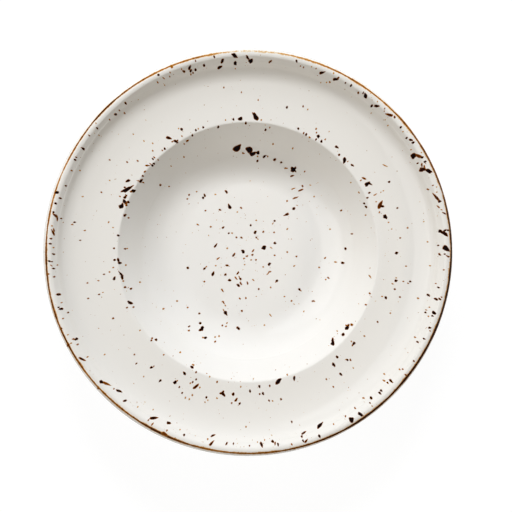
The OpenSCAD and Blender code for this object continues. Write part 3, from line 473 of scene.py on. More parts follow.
class StudioLight(bpy.types.PropertyGroup):
    """Soft boxes, surround and camera"""

    strength: FloatProperty(
        name="Strength", description="Of all soft boxes that light the plate", default=0.993)
    surround: FloatProperty(
        name="Surround", description="Strength of the room's own light", default=0.02)
    camera_distance: FloatProperty(
        name="Camera Distance", description="Above the lip", unit="LENGTH", default=4.0)
    frame_width: FloatProperty(
        name="Frame Width", description="Of the picture, at the lip's height", unit="LENGTH",
        default=300 * MM)
    frame_right: FloatProperty(
        name="Frame Right", description="Picture's middle, right of the axis", unit="LENGTH",
        default=4.8 * MM)
    frame_down: FloatProperty(
        name="Frame Down", description="Picture's middle, below the axis", unit="LENGTH",
        default=2.33 * MM)


# How a run is cut into rows: the angle between neighbours round an arc, and round the lip outside
# the oxide line; the longest stretch without a row; the steps of a sweep; and how near is one
ARC_TURN = math.radians(4.5)
OUTER_LIP_TURN = math.radians(6)
STRIDE = 5 * MM
SWEEP_STEPS = 13
SAME_POINT = 0.002 * MM
HALF_TURN = math.pi

# Steps along the run and, in radians, round the plate, between which a normal is found, and the
# length under which it counts as none
PROBE = 0.05 * MM
SWING = 0.002
TINY = 1e-12

# Rows of a tool mark, in reaches from its ridge, and how many reaches of the run they take over
CREASE_ROWS = np.array([0.45, 0.9, 1.4, 2.2])
CREASE_STRETCH = 2.5

# Reach of each mark along the run, before its ridge and after it, and how far in from the middle
# of the lip's roll the ridge lies
WALL_CREASE_REACH = (0.7 * MM, 0.7 * MM)
FLARE_HOLLOW_REACH, FLARE_HOLLOW_IN = (2.8 * MM, 1.6 * MM), 7.4 * MM
LIP_CREASE_REACH, LIP_CREASE_IN = (1.6 * MM, 0.4 * MM), 4.7 * MM

# How far the glaze's bead turns down before it meets the clay, and in how many rows
BEAD_TURN = math.radians(80)
BEAD_ROWS = 8

# Ragged edges of the oxide line: each wave's depth in millimetres, number round the plate and
# phase; how much wider the mesh is than the line; and the sines that each edge stays between
EDGE_WAVES = ((0.12, 23, 1), (0.09, 41, 2), (0.06, 67, 0))
LINE_MARGIN = 0.25
INNER_EDGE_SINES, OUTER_EDGE_SINES = (0.02, 0.8), (0.3, 0.99)

# How heavy the oxide is in the middle of the line, and the power by which it falls off sideways
BRUSH_LOAD, BRUSH_FALL = 1.1, 2.4

# How the lip dipped: its level, beside a swing of 1 to each side, and the phase of that swing
DIP_LEVEL, DIP_PHASE = 2.2, 0.4

# How much of its fade a mark narrows by, how much it tapers towards its tail, and how much of the
# way to the tail its middle point lies
NARROWING_SHARE, TAPER_SHARE, MIDDLE_SHARE = 1 / 8, 0.55, 0.35

# Least fade of a pinpoint and the range above it; and, of a mark's edge, the fade of a black mark
# and how much of its own fade another mark adds
PINPOINT_FADE_SHARES, EDGE_FADE_SHARES = (0.55, 0.43), (0.8, 0.2)

# Numbers drawn for each pinpoint, of which the last is spare
PINPOINT_DRAWS = 7

# Waves that make an outline lumpy: their number round it, and their greatest share of its size
LUMP_WAVES, LUMP_SHARES = np.array([[2, 3, 4, 5], [0.08, 0.14, 0.12, 0.1]])[..., None]

# Kinds of fleck: the corners round it and its rings from the outside in. A ring is its share of
# the outline, its lift as a share of the relief, and how far it has faded towards the edge.
BOLD_FLECK = (20, [(1, -0.25, 1), (0.86, 0.5, 0.72), (0.66, 0.85, 0.1), (0.3, 1, 0)])
PLAIN_FLECK = (11, [(1, -0.25, 1), (0.78, 0.6, 0.66), (0.46, 0.95, 0.04)])
PINPOINT = (8, [(1, -0.25, 1), (0.5, 0.8, 0.2)])

# Width in millimetres past which a mark is bold, and the heading round the lip as far as which
# the flecks can lie
BOLD_WIDTH = 2
FLECKS_END = -1.3

# Inputs and output of a Mix node in its colour form, and kinds of socket
MIX_AMOUNT, MIX_FIRST, MIX_SECOND, MIXED = 0, 6, 7, 2
FLOAT, COLOUR = "NodeSocketFloat", "NodeSocketColor"

# Sizes of the clouds, the long ripple and the fine peel in the glaze; of the grain and the stains
# in the clay; of the streaks and the pools in the oxide; and of the blotches in burnt iron
CLOUDS, RIPPLE, PEEL = 26 * MM, 14 * MM, 1.6 * MM
GRAIN, STAINS = 0.5 * MM, 7 * MM
STREAKS, POOLS = 0.9 * MM, 3 * MM
BLOTCHES = 0.45 * MM

# Bumps of the glaze, the clay and the oxide: how strongly they show, and how high they stand
GLAZE_BUMP, CLAY_BUMP, OXIDE_BUMP = (0.5, 0.06 * MM), (0.6, 0.05 * MM), (0.4, 0.03 * MM)

# The peel's height beside the ripple's, and how much rougher the glaze is in its clouds
PEEL_SHARE, CLOUD_ROUGHNESS = 0.06, 0.04

# The coat thins out over this stretch at the shoulder, in well radii, and nowhere where the well
# is said to be this large, in metres
DRAINED_FROM, DRAINED_TO = 0.9, 1.05
NO_WELL = 1.0

# Iron dust in the glaze and in the clay, and the clay's paler grain and darker stains
GLAZE_DUST = {"Speck": (0.46, 0.33, 0.2, 1), "Cells": 230, "Size": 0.09}
CLAY_DUST = {"Speck": (0.16, 0.08, 0.04, 1), "Cells": 700, "Share": 0.3, "Size": 0.3}
PALE_CLAY, STAINED_CLAY = (0.76, 0.68, 0.57, 1), (0.56, 0.46, 0.35, 1)

# Colours of the oxide after its bare ground, from thin to heavy, and of iron from black to faded
OXIDE_STOPS = [
    (0.1, (0.74, 0.62, 0.44)), (0.28, (0.56, 0.27, 0.06)), (0.52, (0.34, 0.115, 0.014)),
    (0.76, (0.11, 0.028, 0.004)), (1.0, (0.018, 0.006, 0.003)),
]
IRON_STOPS = [
    (0.0, (0.003, 0.001, 0.001)), (0.2, (0.010, 0.002, 0.001)), (0.36, (0.080, 0.015, 0.001)),
    (0.55, (0.210, 0.055, 0.004)), (0.8, (0.40, 0.160, 0.015)), (1.0, (0.58, 0.36, 0.10)),
]
OXIDE_SPECULAR, IRON_SPECULAR = 0.05, 0.02

# Floor: half its side in metres, the glow by which the camera sees it, the veil that takes the
# plate's shadow, and its plain grey to all other rays
FLOOR_REACH = 12.0
FLOOR_GLOW = 0.94
FLOOR_VEIL, FLOOR_GREY = (0.1, 0.1, 0.1, 1), (0.8, 0.8, 0.79, 1)
WHITE = (1, 1, 1, 1)

# Gloss boxes: height, size away from the axis and along its ring, in metres, and the angle from
# straight up at which the near edge stands
GLOSS_HEIGHT, GLOSS_DEPTH, GLOSS_WIDTH = 1.5, 1.65, 2.0
GLOSS_NEAR_EDGE = math.radians(13)

# Camera: width of its sensor in millimetres, and nearest and farthest sight in metres
SENSOR_WIDTH = 36
SIGHT = (0.1, 40)


def along(heading):
    """Unit step along a heading, where 0 is outward and a quarter turn is up"""
    return np.stack([np.cos(heading), np.sin(heading)], axis=-1)


def across(heading):
    """Unit step to the right of a heading, which is into the clay"""
    return np.stack([np.sin(heading), -np.cos(heading)], axis=-1)


def line(point, heading):
    """Straight line as [distance from the axis, height, heading]"""
    return np.array([point[0], point[1], heading])


def meet(a, b):
    """Where two lines cross: from the first, the share of the gap that lies across the second"""
    run = (b[:2] - a[:2]) @ across(b[2]) / math.sin(b[2] - a[2])
    return a[:2] + run * along(a[2])


def arc(centre, radius, start, end):
    """Centre plus the radius across each heading from start to end; plus is hollow, minus round"""
    steps = max(2, math.ceil(abs(end - start) / ARC_TURN))
    heading = np.linspace(start, end, steps + 1)
    return np.column_stack([centre + radius * across(heading), heading])


def rounded(a, b, radius):
    """Arc of the radius that touches both lines, set back from their corner by its half-angle"""
    back = radius * math.tan(abs(b[2] - a[2]) / 2)
    bent = math.copysign(radius, b[2] - a[2])
    return arc(meet(a, b) - back * along(a[2]) - bent * across(a[2]), bent, a[2], b[2])


def swept(a, b, before, after):
    """Parabola (1-t)^2 start + 2t(1-t) corner + t^2 end, from before the corner to after it"""
    corner = meet(a, b)
    t = np.linspace(0, 1, SWEEP_STEPS + 1)[:, None]
    start, end = corner - before * along(a[2]), corner + after * along(b[2])
    points = (1 - t) ** 2 * start + 2 * t * (1 - t) * corner + t ** 2 * end
    way = (1 - t) * before * along(a[2]) + t * after * along(b[2])
    heading = np.unwrap(np.arctan2(way[:, 1], way[:, 0]))
    heading += 2 * HALF_TURN * round((a[2] - heading[0]) / (2 * HALF_TURN))
    return np.column_stack([points, heading])


def tangent(a, b):
    """Heading of the tangent from one circle [distance, height, radius] to the next"""
    way = b[:2] - a[:2]
    lean = math.asin((a[2] - b[2]) / np.hypot(*way))
    return (math.atan2(way[1], way[0]) + lean) % (2 * HALF_TURN)


def sunk(rows, depth):
    """Rows moved into the clay by a depth, square to the surface"""
    return rows[..., :2] + depth * across(rows[..., 2])


def lengths(run):
    """Distance walked to each point of a run"""
    return np.append(0, np.cumsum(np.hypot(*np.diff(run[:, :2], axis=0).T)))


def resampled(run, stations):
    """Run at the given walked distances, straight between its points"""
    walked = lengths(run)
    return np.column_stack([np.interp(stations, walked, column) for column in run.T])


def strode(run):
    """Run without doubled points, and with rows added so that no stretch is over the stride"""
    run = run[np.append(True, np.diff(lengths(run)) > SAME_POINT)]
    walked = lengths(run)
    parts = np.maximum(1, np.ceil(np.diff(walked) / STRIDE)).astype(int)
    step = np.arange(parts.sum()) - np.repeat(np.cumsum(parts) - parts, parts)
    stations = np.repeat(walked[:-1], parts) + step * np.repeat(np.diff(walked) / parts, parts)
    return resampled(run, np.append(stations, walked[-1]))


def creased(run, distance, height, reach):
    """Run with a fine ridge: height times exp(-(s/reach)^2), s along the run from the ridge,
    with one reach before it and another after it"""
    before, after = reach
    walked = lengths(run)
    middle = np.interp(distance, run[:, 0], walked)
    clear = walked < middle - CREASE_STRETCH * before
    clear |= walked > middle + CREASE_STRETCH * after
    ridge = middle + np.concatenate([-before * CREASE_ROWS, [0], after * CREASE_ROWS])
    stations = np.union1d(walked[clear], ridge)
    run = resampled(run, stations)
    reach = np.where(stations < middle, before, after)
    off = (stations - middle) / reach
    swell = height * np.exp(-off ** 2)
    run[:, :2] -= swell[:, None] * across(run[:, 2])
    run[:, 2] -= np.arctan(2 * off * swell / reach)
    return run


def beaded(run, depth, bead, at_end):
    """Run whose last or first stretch rolls down to the clay on a quarter of an ellipse"""
    walked = lengths(run)
    turn = np.linspace(0, BEAD_TURN, BEAD_ROWS)
    start, side = (walked[-1] - bead, 1) if at_end else (bead, -1)
    rolled = resampled(run, start + side * bead * np.sin(turn))
    rolled[:, :2] += depth * (1 - np.cos(turn))[:, None] * across(rolled[:, 2])
    rolled[:, 2] -= side * np.arctan2(depth * np.sin(turn), bead * np.cos(turn))
    if at_end:
        return np.concatenate([run[walked < start], rolled])
    return np.concatenate([rolled[::-1], run[walked > start]])


def section_of(form):
    """Lines, centres and headings of the plate's section, from its sizes"""
    edge, thick = form.diameter / 2, form.glaze_thickness
    rim_height, well = form.height - form.flare_height, edge - form.rim_width
    lip = np.array([edge - form.lip_radius, form.height - form.lip_radius])
    shoulder = np.array([well, rim_height])
    floor = line((0, form.floor_height), 0)
    wall = line(shoulder, form.wall_slope)
    rim = line(shoulder, 0)
    flare = line(lip - form.lip_radius * across(form.flare_slope), form.flare_slope)
    under_flare = line(
        lip + form.lip_radius * across(form.under_slope), HALF_TURN + form.under_slope)
    under_rim = line((well, rim_height - form.rim_thickness), HALF_TURN)
    under_wall = line(
        shoulder + form.wall_thickness * across(form.wall_slope), HALF_TURN + form.wall_slope)
    face_rise = form.rise_share * (meet(rim, flare)[0] - well)
    under_rise = form.rise_share * (
        meet(under_flare, under_rim)[0] - meet(under_rim, under_wall)[0])

    floor_edge = meet(floor, wall)[0] - form.bowl_radius * math.tan(form.wall_slope / 2)
    bowl = np.array([floor_edge, form.floor_height + form.bowl_radius])
    under_bowl_radius = form.bowl_radius + form.wall_thickness
    foot_reach = under_bowl_radius + form.foot_sweep_radius
    foot_turn = math.asin((form.foot_out + form.foot_lean + form.foot_sweep_radius) / foot_reach)
    foot_sweep = bowl + foot_reach * across(foot_turn)
    bare_edge = form.foot_edge_radius + thick
    foot = floor_edge + form.foot_out
    foot_outer = np.array([foot - bare_edge, form.foot_edge_radius])
    foot_inner = np.array([foot - form.foot_width + bare_edge, form.foot_edge_radius])
    hollow_sweep = np.array([
        foot - form.foot_width - form.hollow_lean - form.hollow_sweep_radius,
        form.hollow_height - form.hollow_sweep_radius])
    foot_side = tangent(
        np.append(foot_sweep, form.foot_sweep_radius), np.append(foot_outer, -bare_edge))
    hollow_side = tangent(
        np.append(foot_inner, -bare_edge), np.append(hollow_sweep, form.hollow_sweep_radius))

    foot_run = np.concatenate([
        arc(foot_outer, -bare_edge, foot_side, HALF_TURN),
        arc(foot_inner, -bare_edge, HALF_TURN, hollow_side)])
    face_run = np.concatenate([
        floor[None],
        rounded(floor, wall, form.bowl_radius),
        rounded(wall, rim, form.shoulder_radius),
        swept(rim, flare, face_rise, form.flare_bend),
        line(lip - form.lip_radius * across(form.flare_slope), form.flare_slope)[None]])
    back_run = np.concatenate([
        swept(under_flare, under_rim, form.flare_bend, under_rise),
        rounded(under_rim, under_wall, form.under_radius),
        arc(bowl, -under_bowl_radius, HALF_TURN + form.wall_slope, HALF_TURN + foot_turn),
        arc(foot_sweep, form.foot_sweep_radius, HALF_TURN + foot_turn, foot_side),
        foot_run[:1]])
    base_run = np.concatenate([
        foot_run[-1:],
        arc(hollow_sweep, form.hollow_sweep_radius, hollow_side, HALF_TURN),
        line((0, form.hollow_height), HALF_TURN)[None]])
    return SimpleNamespace(
        lip=lip, face=strode(face_run), back=strode(back_run), foot=strode(foot_run),
        base=strode(base_run), wall_foot=bowl[0] + form.bowl_radius * math.sin(form.wall_slope))


def face_of(form, section):
    """The face's run with its two fine tool marks, where the bowl meets the wall and inside the
    lip's roll, and with the flare a little hollow between the ring and the second mark"""
    lip = section.lip[0]
    run = creased(section.face, section.wall_foot, form.crease_height, WALL_CREASE_REACH)
    run = creased(run, lip - FLARE_HOLLOW_IN, -form.flare_hollow, FLARE_HOLLOW_REACH)
    return creased(run, lip - LIP_CREASE_IN, form.lip_crease_height, LIP_CREASE_REACH)


def line_edges(form, section, angle):
    """Headings of the oxide line's two edges at each angle, and how much oxide was laid there. A
    heading is minus the arc sine of how far out from the lip's middle the edge lies, over the
    lip's radius."""
    places, *banded = np.array(LINE_BANDING_SHARES).T
    inner, outer, laid = (np.interp(np.degrees(angle), places, part, period=360) for part in banded)
    ragged = sum(depth * np.sin(count * angle + phase) for depth, count, phase in EDGE_WAVES)
    middle, radius = section.lip[0] / MM, form.lip_radius / MM
    start = (inner + ragged - LINE_MARGIN - middle) / radius
    end = (outer - ragged / 2 + LINE_MARGIN / 2 - middle) / radius
    start = -np.arcsin(np.clip(start, *INNER_EDGE_SINES))
    return start, -np.arcsin(np.clip(end, *OUTER_EDGE_SINES)), laid


def lip_rows(form, section, start, end, turn=ARC_TURN):
    """Rows round the lip: its middle minus its radius across headings that run from start to
    end, each of which is one heading or one for each column"""
    steps = max(2, math.ceil(np.max(np.abs(end - start)) / turn))
    share = np.linspace(0, 1, steps + 1)[:, None]
    heading = start + (end - start) * share
    points = section.lip - form.lip_radius * across(heading)
    return np.concatenate([points, heading[..., None]], axis=-1)


def spun(run, columns):
    """The same run in every column"""
    return np.repeat(run[:, None, :], columns, axis=1)


def angles(columns):
    """Angle of each column, counter-clockwise from +X"""
    return np.arange(columns) * (2 * HALF_TURN / columns)


def settled(form, places, angle):
    """Places [distance, height] turned to their angle a, after the kiln: the lip dips as its
    level + cos(2a + phase) and draws in as 1 - cos 2a, growing with the distance and the height"""
    distance, height = places[..., 0], places[..., 1]
    out = distance / (form.diameter / 2)
    up = height / form.height
    dip = form.warp * out ** 2 * up * (DIP_LEVEL + np.cos(2 * angle + DIP_PHASE)) / 2
    draw = form.ovality * out * up * (1 - np.cos(2 * angle)) / 2
    reach = distance - draw
    return np.stack([reach * np.cos(angle), reach * np.sin(angle), height - dip], axis=-1)


def normals_of(form, rows, angle):
    """Surface normals of settled rows: the step along the run crossed with the step round the
    plate, and straight up or down on the axis"""
    here = settled(form, rows, angle)
    ahead = settled(form, rows[..., :2] + PROBE * along(rows[..., 2]), angle) - here
    beside = settled(form, rows, angle + SWING) - settled(form, rows, angle - SWING)
    normal = np.cross(ahead, beside)
    size = np.linalg.norm(normal, axis=-1, keepdims=True)
    upright = np.zeros_like(normal)
    upright[..., 2] = np.cos(rows[..., 2])
    return np.where(size > TINY, normal / np.maximum(size, TINY), upright)


def sheet_faces(index):
    """Quads between neighbouring rows of an index grid that is closed round the plate, and
    triangles where a row has shrunk to one point. The corners run so that the face looks out."""
    here, right = index, np.roll(index, -1, axis=1)
    quads = np.stack([here[:-1], here[1:], right[1:], right[:-1]], axis=-1).reshape(-1, 4)
    start, end = quads[:, 0] == quads[:, 3], quads[:, 1] == quads[:, 2]
    corners = np.concatenate([quads[start][:, :3], quads[end][:, [0, 1, 3]]])
    return quads[~start & ~end], corners


def coat_mesh(name, form, outer, depth=None):
    """Closed mesh of a coat: its outer surface, every second row of it sunk by the depth, and
    the two joined at their ends. Without a depth the outer surface closes on the axis."""
    columns = outer.shape[1]
    angle = angles(columns)
    grids, normals = [settled(form, outer[..., :2], angle)], [normals_of(form, outer, angle)]
    if depth:
        chosen = np.unique(np.append(np.arange(0, len(outer), 2), len(outer) - 1))
        inner = outer[chosen]
        grids.append(settled(form, sunk(inner, depth), angle))
        normals.append(-normals_of(form, inner, angle))
    points = np.concatenate([grid.reshape(-1, 3) for grid in grids])
    index = np.arange(len(points)).reshape(-1, columns)
    poles = np.hypot(points[index[:, 0], 0], points[index[:, 0], 1]) < SAME_POINT
    index[poles] = index[poles][:, :1]
    outside = index[:len(outer)]
    parts = [sheet_faces(outside)]
    flat_from = None
    if depth:
        parts.append(sheet_faces(index[len(outer):][::-1]))
        ends = [pair for pair in ((len(outer), 0), (len(outer) - 1, len(index) - 1))
                if not poles[pair[0]]]
        flat_from = sum(len(quads) for quads, _ in parts)
        parts += [sheet_faces(index[list(pair)]) for pair in ends]
    quads = np.concatenate([part[0] for part in parts])
    triangles = np.concatenate([part[1] for part in parts])
    corner_normals = np.concatenate(normals).reshape(-1, 3)
    return finished_mesh(name, points, quads, triangles, corner_normals, flat_from)


def finished_mesh(name, points, quads, triangles, normals, flat_from=None):
    """Mesh object from arrays, without loose points. Its corners take the given normals, apart
    from the quads past flat_from, which keep their own face's."""
    used, place = np.unique(np.concatenate([quads.ravel(), triangles.ravel()]), return_inverse=True)
    quads_new = place[:quads.size].reshape(-1, 4)
    triangles_new = place[quads.size:].reshape(-1, 3)
    mesh = bpy.data.meshes.new(name)
    mesh.from_pydata(points[used].tolist(), [], quads_new.tolist() + triangles_new.tolist())
    mesh.polygons.foreach_set("use_smooth", np.ones(len(mesh.polygons), dtype=bool))
    if normals is not None:
        corners = normals[quads]
        if flat_from is not None:
            flat = points[quads[flat_from:]]
            own = np.cross(flat[:, 2] - flat[:, 0], flat[:, 3] - flat[:, 1])
            own /= np.maximum(np.linalg.norm(own, axis=1, keepdims=True), TINY)
            corners[flat_from:] = own[:, None, :]
        every = np.concatenate([corners.reshape(-1, 3), normals[triangles].reshape(-1, 3)])
        mesh.normals_split_custom_set(every.tolist())
    mesh.update()
    return placed(name, mesh), used


def placed(name, data):
    """Object with its mesh, lamp or camera, in the scene"""
    item = bpy.data.objects.new(name, data)
    bpy.context.scene.collection.objects.link(item)
    return item


def point_values(piece, name, values):
    """Gives every point of a piece its value of a named attribute"""
    attribute = piece.data.attributes.new(name, "FLOAT", "POINT")
    attribute.data.foreach_set("value", values)


def volume(mesh):
    """Signed volume: the sum of each triangle's corner determinant over six"""
    mesh.calc_loop_triangles()
    corners = np.empty(len(mesh.loop_triangles) * 3, dtype=np.int32)
    mesh.loop_triangles.foreach_get("vertices", corners)
    places = np.empty(len(mesh.vertices) * 3)
    mesh.vertices.foreach_get("co", places)
    a, b, c = places.reshape(-1, 3)[corners.reshape(-1, 3)].transpose(1, 0, 2)
    return np.einsum("ij,ij->", a, np.cross(b, c)) / 6


def settle_piece(piece, node, material):
    """Checks that the piece isn't inside out, gives it its material and its slot, hangs it under
    the root body, and hides the CAD node that it stands for, if there is one"""
    if volume(piece.data) <= 0:
        raise RuntimeError(piece.name + " is inside out")
    piece.data.materials.append(material)
    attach(piece, "root")
    if node:
        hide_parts(node)


def mark_table(finish):
    """All listed marks as head x, head y, tail run x, tail run y, width and fade. Each width
    has grown: times the spread, plus the bleed, and the less the more its iron has faded."""
    turned = np.array(LIP_MARK_SHARES + RIM_MARK_SHARES)
    angle = np.radians(turned[:, 0])
    out = along(angle)
    round_step = np.stack([-np.sin(angle), np.cos(angle)], axis=-1)
    head = turned[:, 1:2] * out
    tail = turned[:, 2:3] * out + turned[:, 3:4] * round_step
    well = np.array(WELL_MARK_SHARES)
    well[:, :2] = well[:, :2] * WELL_MARK_SCALE + WELL_MARK_SHIFT
    marks = np.concatenate([np.column_stack([head, tail, turned[:, 4:]]), well])
    grown = finish.fleck_spread * marks[:, 4] + finish.fleck_bleed / MM
    marks[:, 4] = grown * (1 - NARROWING_SHARE * marks[:, 5])
    return marks


def pinpoint_table(chance):
    """Stray pinpoints, even over each zone's area: the distance is the root of an even draw
    between the squares of the zone's edges. The width grows as the square of a draw and the run,
    up to twice the width, as the cube, so that most are small and round."""
    near, far, count, least, most = np.array(PINPOINT_ZONES).T
    zone = np.repeat(np.arange(len(near)), count.astype(int))
    place, turn, size, stretch, lean, fading, _ = chance.random((PINPOINT_DRAWS, len(zone)))
    distance = np.sqrt(near[zone] ** 2 + place * (far[zone] ** 2 - near[zone] ** 2))
    width = least[zone] + (most[zone] - least[zone]) * size ** 2
    run = width * stretch ** 3 * 2
    head = distance * along(2 * HALF_TURN * turn).T
    tail = run * along(2 * HALF_TURN * lean).T
    fade = PINPOINT_FADE_SHARES[0] + PINPOINT_FADE_SHARES[1] * fading
    return np.column_stack([*head, *tail, width, fade])


def lens_arrays(form, finish, face, table, corners, rings, chance):
    """Points and fades of one lens for each mark. An outline is a teardrop round head and tail,
    in plan: the long half-axis is half the run and width, the short one tapers towards the tail,
    and four waves round it, each of a chance depth and place, make it lumpy. The rings lie on
    the glaze at their shares of the outline, then a middle point, and one point lies below."""
    head, tail, width, core = table[:, :2], table[:, 2:4], table[:, 4:5], table[:, 5:6]
    run, aim = np.hypot(*tail.T)[:, None], np.arctan2(tail[:, 1:], tail[:, :1])
    taper = TAPER_SHARE * run / (run + width)
    round_it = angles(corners)
    swings = chance.random((2, len(table), len(LUMP_WAVES), 1))
    lumps = np.cos(LUMP_WAVES * round_it + 2 * HALF_TURN * swings[0])
    ragged = 1 + (LUMP_SHARES * swings[1] * lumps).sum(axis=1)
    ahead = (run + width) / 2 * np.cos(round_it) * ragged
    aside = width / 2 * np.sin(round_it) * (1 - taper * np.cos(round_it)) * ragged
    outline = np.stack([
        ahead * np.cos(aim) - aside * np.sin(aim),
        ahead * np.sin(aim) + aside * np.cos(aim)], axis=-1)
    outline += (head + tail / 2)[:, None]
    middle = (head + tail * MIDDLE_SHARE)[:, None]
    share, lift, fringe = np.repeat(np.array(rings).T, corners, axis=1)
    plan = middle + (np.tile(outline, (1, len(rings), 1)) - middle) * share[:, None]
    plan = np.concatenate([plan, middle, middle], axis=1) * MM
    lift = np.concatenate([lift * finish.fleck_relief, [finish.fleck_relief, -finish.fleck_depth]])
    distance, angle = np.hypot(plan[..., 0], plan[..., 1]), np.arctan2(plan[..., 1], plan[..., 0])
    rows = np.stack([np.interp(distance, face[:, 0], column) for column in face.T], axis=-1)
    points = settled(form, sunk(rows, 0), angle) + lift[:, None] * normals_of(form, rows, angle)
    edge = EDGE_FADE_SHARES[0] + EDGE_FADE_SHARES[1] * core
    return points, core + (edge - core) * np.append(fringe, [0, 0])


def lens_faces(count, corners, rings):
    """Faces of every lens: triangles from the middle, quads between the rings, and triangles
    from the point below, all looking out"""
    here = np.arange(corners)
    beside = (here + 1) % corners
    top, bottom = np.full(corners, rings * corners), np.full(corners, rings * corners + 1)
    band = np.stack([here, beside, beside + corners, here + corners], axis=-1)
    quads = np.concatenate([band + ring * corners for ring in range(rings - 1)])
    last = (rings - 1) * corners
    triangles = np.concatenate([
        np.stack([top, here + last, beside + last], axis=-1),
        np.stack([bottom, beside, here], axis=-1)])
    start = (np.arange(count) * (rings * corners + 2))[:, None, None]
    return (quads + start).reshape(-1, 4), (triangles + start).reshape(-1, 3)


def fleck_arrays(form, finish, section):
    """Points, fades, quads and triangles of all flecks: the bold marks with the finest outlines,
    the other marks, and the pinpoints"""
    chance = np.random.default_rng(finish.seed)
    lip = lip_rows(form, section, form.flare_slope, FLECKS_END)[:, 0]
    face = np.concatenate([face_of(form, section), lip])
    marks = mark_table(finish)
    bold = marks[:, 4] > BOLD_WIDTH
    kinds = ((marks[bold], *BOLD_FLECK), (marks[~bold], *PLAIN_FLECK),
             (pinpoint_table(chance), *PINPOINT))
    points, fades, quads, triangles = [], [], [], []
    used = 0
    for table, corners, rings in kinds:
        places, fade = lens_arrays(form, finish, face, table, corners, rings, chance)
        four, three = lens_faces(len(table), corners, len(rings))
        points.append(places.reshape(-1, 3))
        fades.append(fade.ravel())
        quads.append(four + used)
        triangles.append(three + used)
        used += fade.size
    return tuple(np.concatenate(part) for part in (points, fades, quads, triangles))


def new_tree(name):
    """Material, its tree and its shader node"""
    material = bpy.data.materials.new(name)
    material.use_nodes = True
    return material, material.node_tree, material.node_tree.nodes["Principled BSDF"]


def plug(tree, node, inputs):
    """Gives each input its value, or links it to the socket that its value comes from"""
    for name, value in inputs.items():
        if isinstance(value, bpy.types.NodeSocket):
            tree.links.new(value, node.inputs[name])
        else:
            node.inputs[name].default_value = value


def add(tree, kind, inputs=None, **settings):
    """Node of a kind, with its settings and its inputs"""
    node = tree.nodes.new(kind)
    for name, value in settings.items():
        setattr(node, name, value)
    plug(tree, node, inputs or {})
    return node


def blend(tree, amount, first, second):
    """Colour mix of two colours or sockets by an amount"""
    inputs = {MIX_AMOUNT: amount, MIX_FIRST: first, MIX_SECOND: second}
    return add(tree, "ShaderNodeMix", inputs, data_type="RGBA").outputs[MIXED]


def count_up(tree, operation, *values):
    """Result of a Math node on values or sockets"""
    return add(tree, "ShaderNodeMath", dict(enumerate(values)), operation=operation).outputs[0]


def swayed(tree, value, wave, amount):
    """Value plus the amount times how far a noise is off its middle"""
    off = count_up(tree, "SUBTRACT", wave, 0.5)
    return count_up(tree, "MULTIPLY_ADD", off, amount, value)


def object_place(tree):
    """Socket with the place on the piece, in metres"""
    return add(tree, "ShaderNodeTexCoord").outputs["Object"]


def point_value(tree, name):
    """Socket with a named attribute of the mesh"""
    return add(tree, "ShaderNodeAttribute", attribute_name=name).outputs["Fac"]


def noise(tree, place, size, detail=2.0, roughness=0.5):
    """Noise from 0 to 1 whose blotches are about the given size across"""
    return add(tree, "ShaderNodeTexNoise", {
        "Vector": place, "Scale": 1 / size, "Detail": detail,
        "Roughness": roughness}).outputs["Fac"]


def graded(tree, value, low, high, to_low=0.0, to_high=1.0):
    """Value mapped from one range to another, and held at its ends"""
    return add(tree, "ShaderNodeMapRange", {
        "Value": value, "From Min": low, "From Max": high, "To Min": to_low,
        "To Max": to_high}).outputs["Result"]


def ramp(tree, value, stops):
    """Colour ramp through stops of place and colour"""
    node = add(tree, "ShaderNodeValToRGB", {"Fac": value})
    elements = node.color_ramp.elements
    while len(elements) < len(stops):
        elements.new(0.5)
    for element, (place, colour) in zip(elements, stops):
        element.position = place
        element.color = (*colour, 1)
    return node.outputs["Color"]


def group_tree(name, inputs, outputs):
    """Shader node group with named sockets, the sockets that it is given, and its output node"""
    tree = bpy.data.node_groups.new(name, "ShaderNodeTree")
    for title, kind, value in inputs:
        tree.interface.new_socket(title, in_out="INPUT", socket_type=kind).default_value = value
    for title, kind in outputs:
        tree.interface.new_socket(title, in_out="OUTPUT", socket_type=kind)
    return tree, tree.nodes.new("NodeGroupInput").outputs, tree.nodes.new("NodeGroupOutput")


def iron_dust_group():
    """Iron dust: one speck in the middle of some of a Voronoi pattern's cells, where the
    distance to the cell's point is under a size that the cell draws"""
    tree, given, result = group_tree("Iron Dust", [
        ("Base", COLOUR, (0.8, 0.8, 0.8, 1)), ("Speck", COLOUR, (0.35, 0.22, 0.12, 1)),
        ("Cells", FLOAT, 300.0), ("Share", FLOAT, 0.3), ("Size", FLOAT, 0.06),
    ], [("Color", COLOUR), ("Mask", FLOAT)])
    cells = add(tree, "ShaderNodeTexVoronoi", {
        "Vector": object_place(tree), "Scale": given["Cells"], "Randomness": 1.0}).outputs
    drawn = add(tree, "ShaderNodeSeparateColor", {"Color": cells["Color"]}).outputs
    chosen = count_up(tree, "LESS_THAN", drawn["Red"], given["Share"])
    size = count_up(tree, "MULTIPLY", drawn["Green"], given["Size"])
    near = count_up(tree, "LESS_THAN", cells["Distance"], size)
    mask = count_up(tree, "MULTIPLY", chosen, near)
    colour = blend(tree, mask, given["Base"], given["Speck"])
    plug(tree, result, {"Color": colour, "Mask": mask})
    return tree


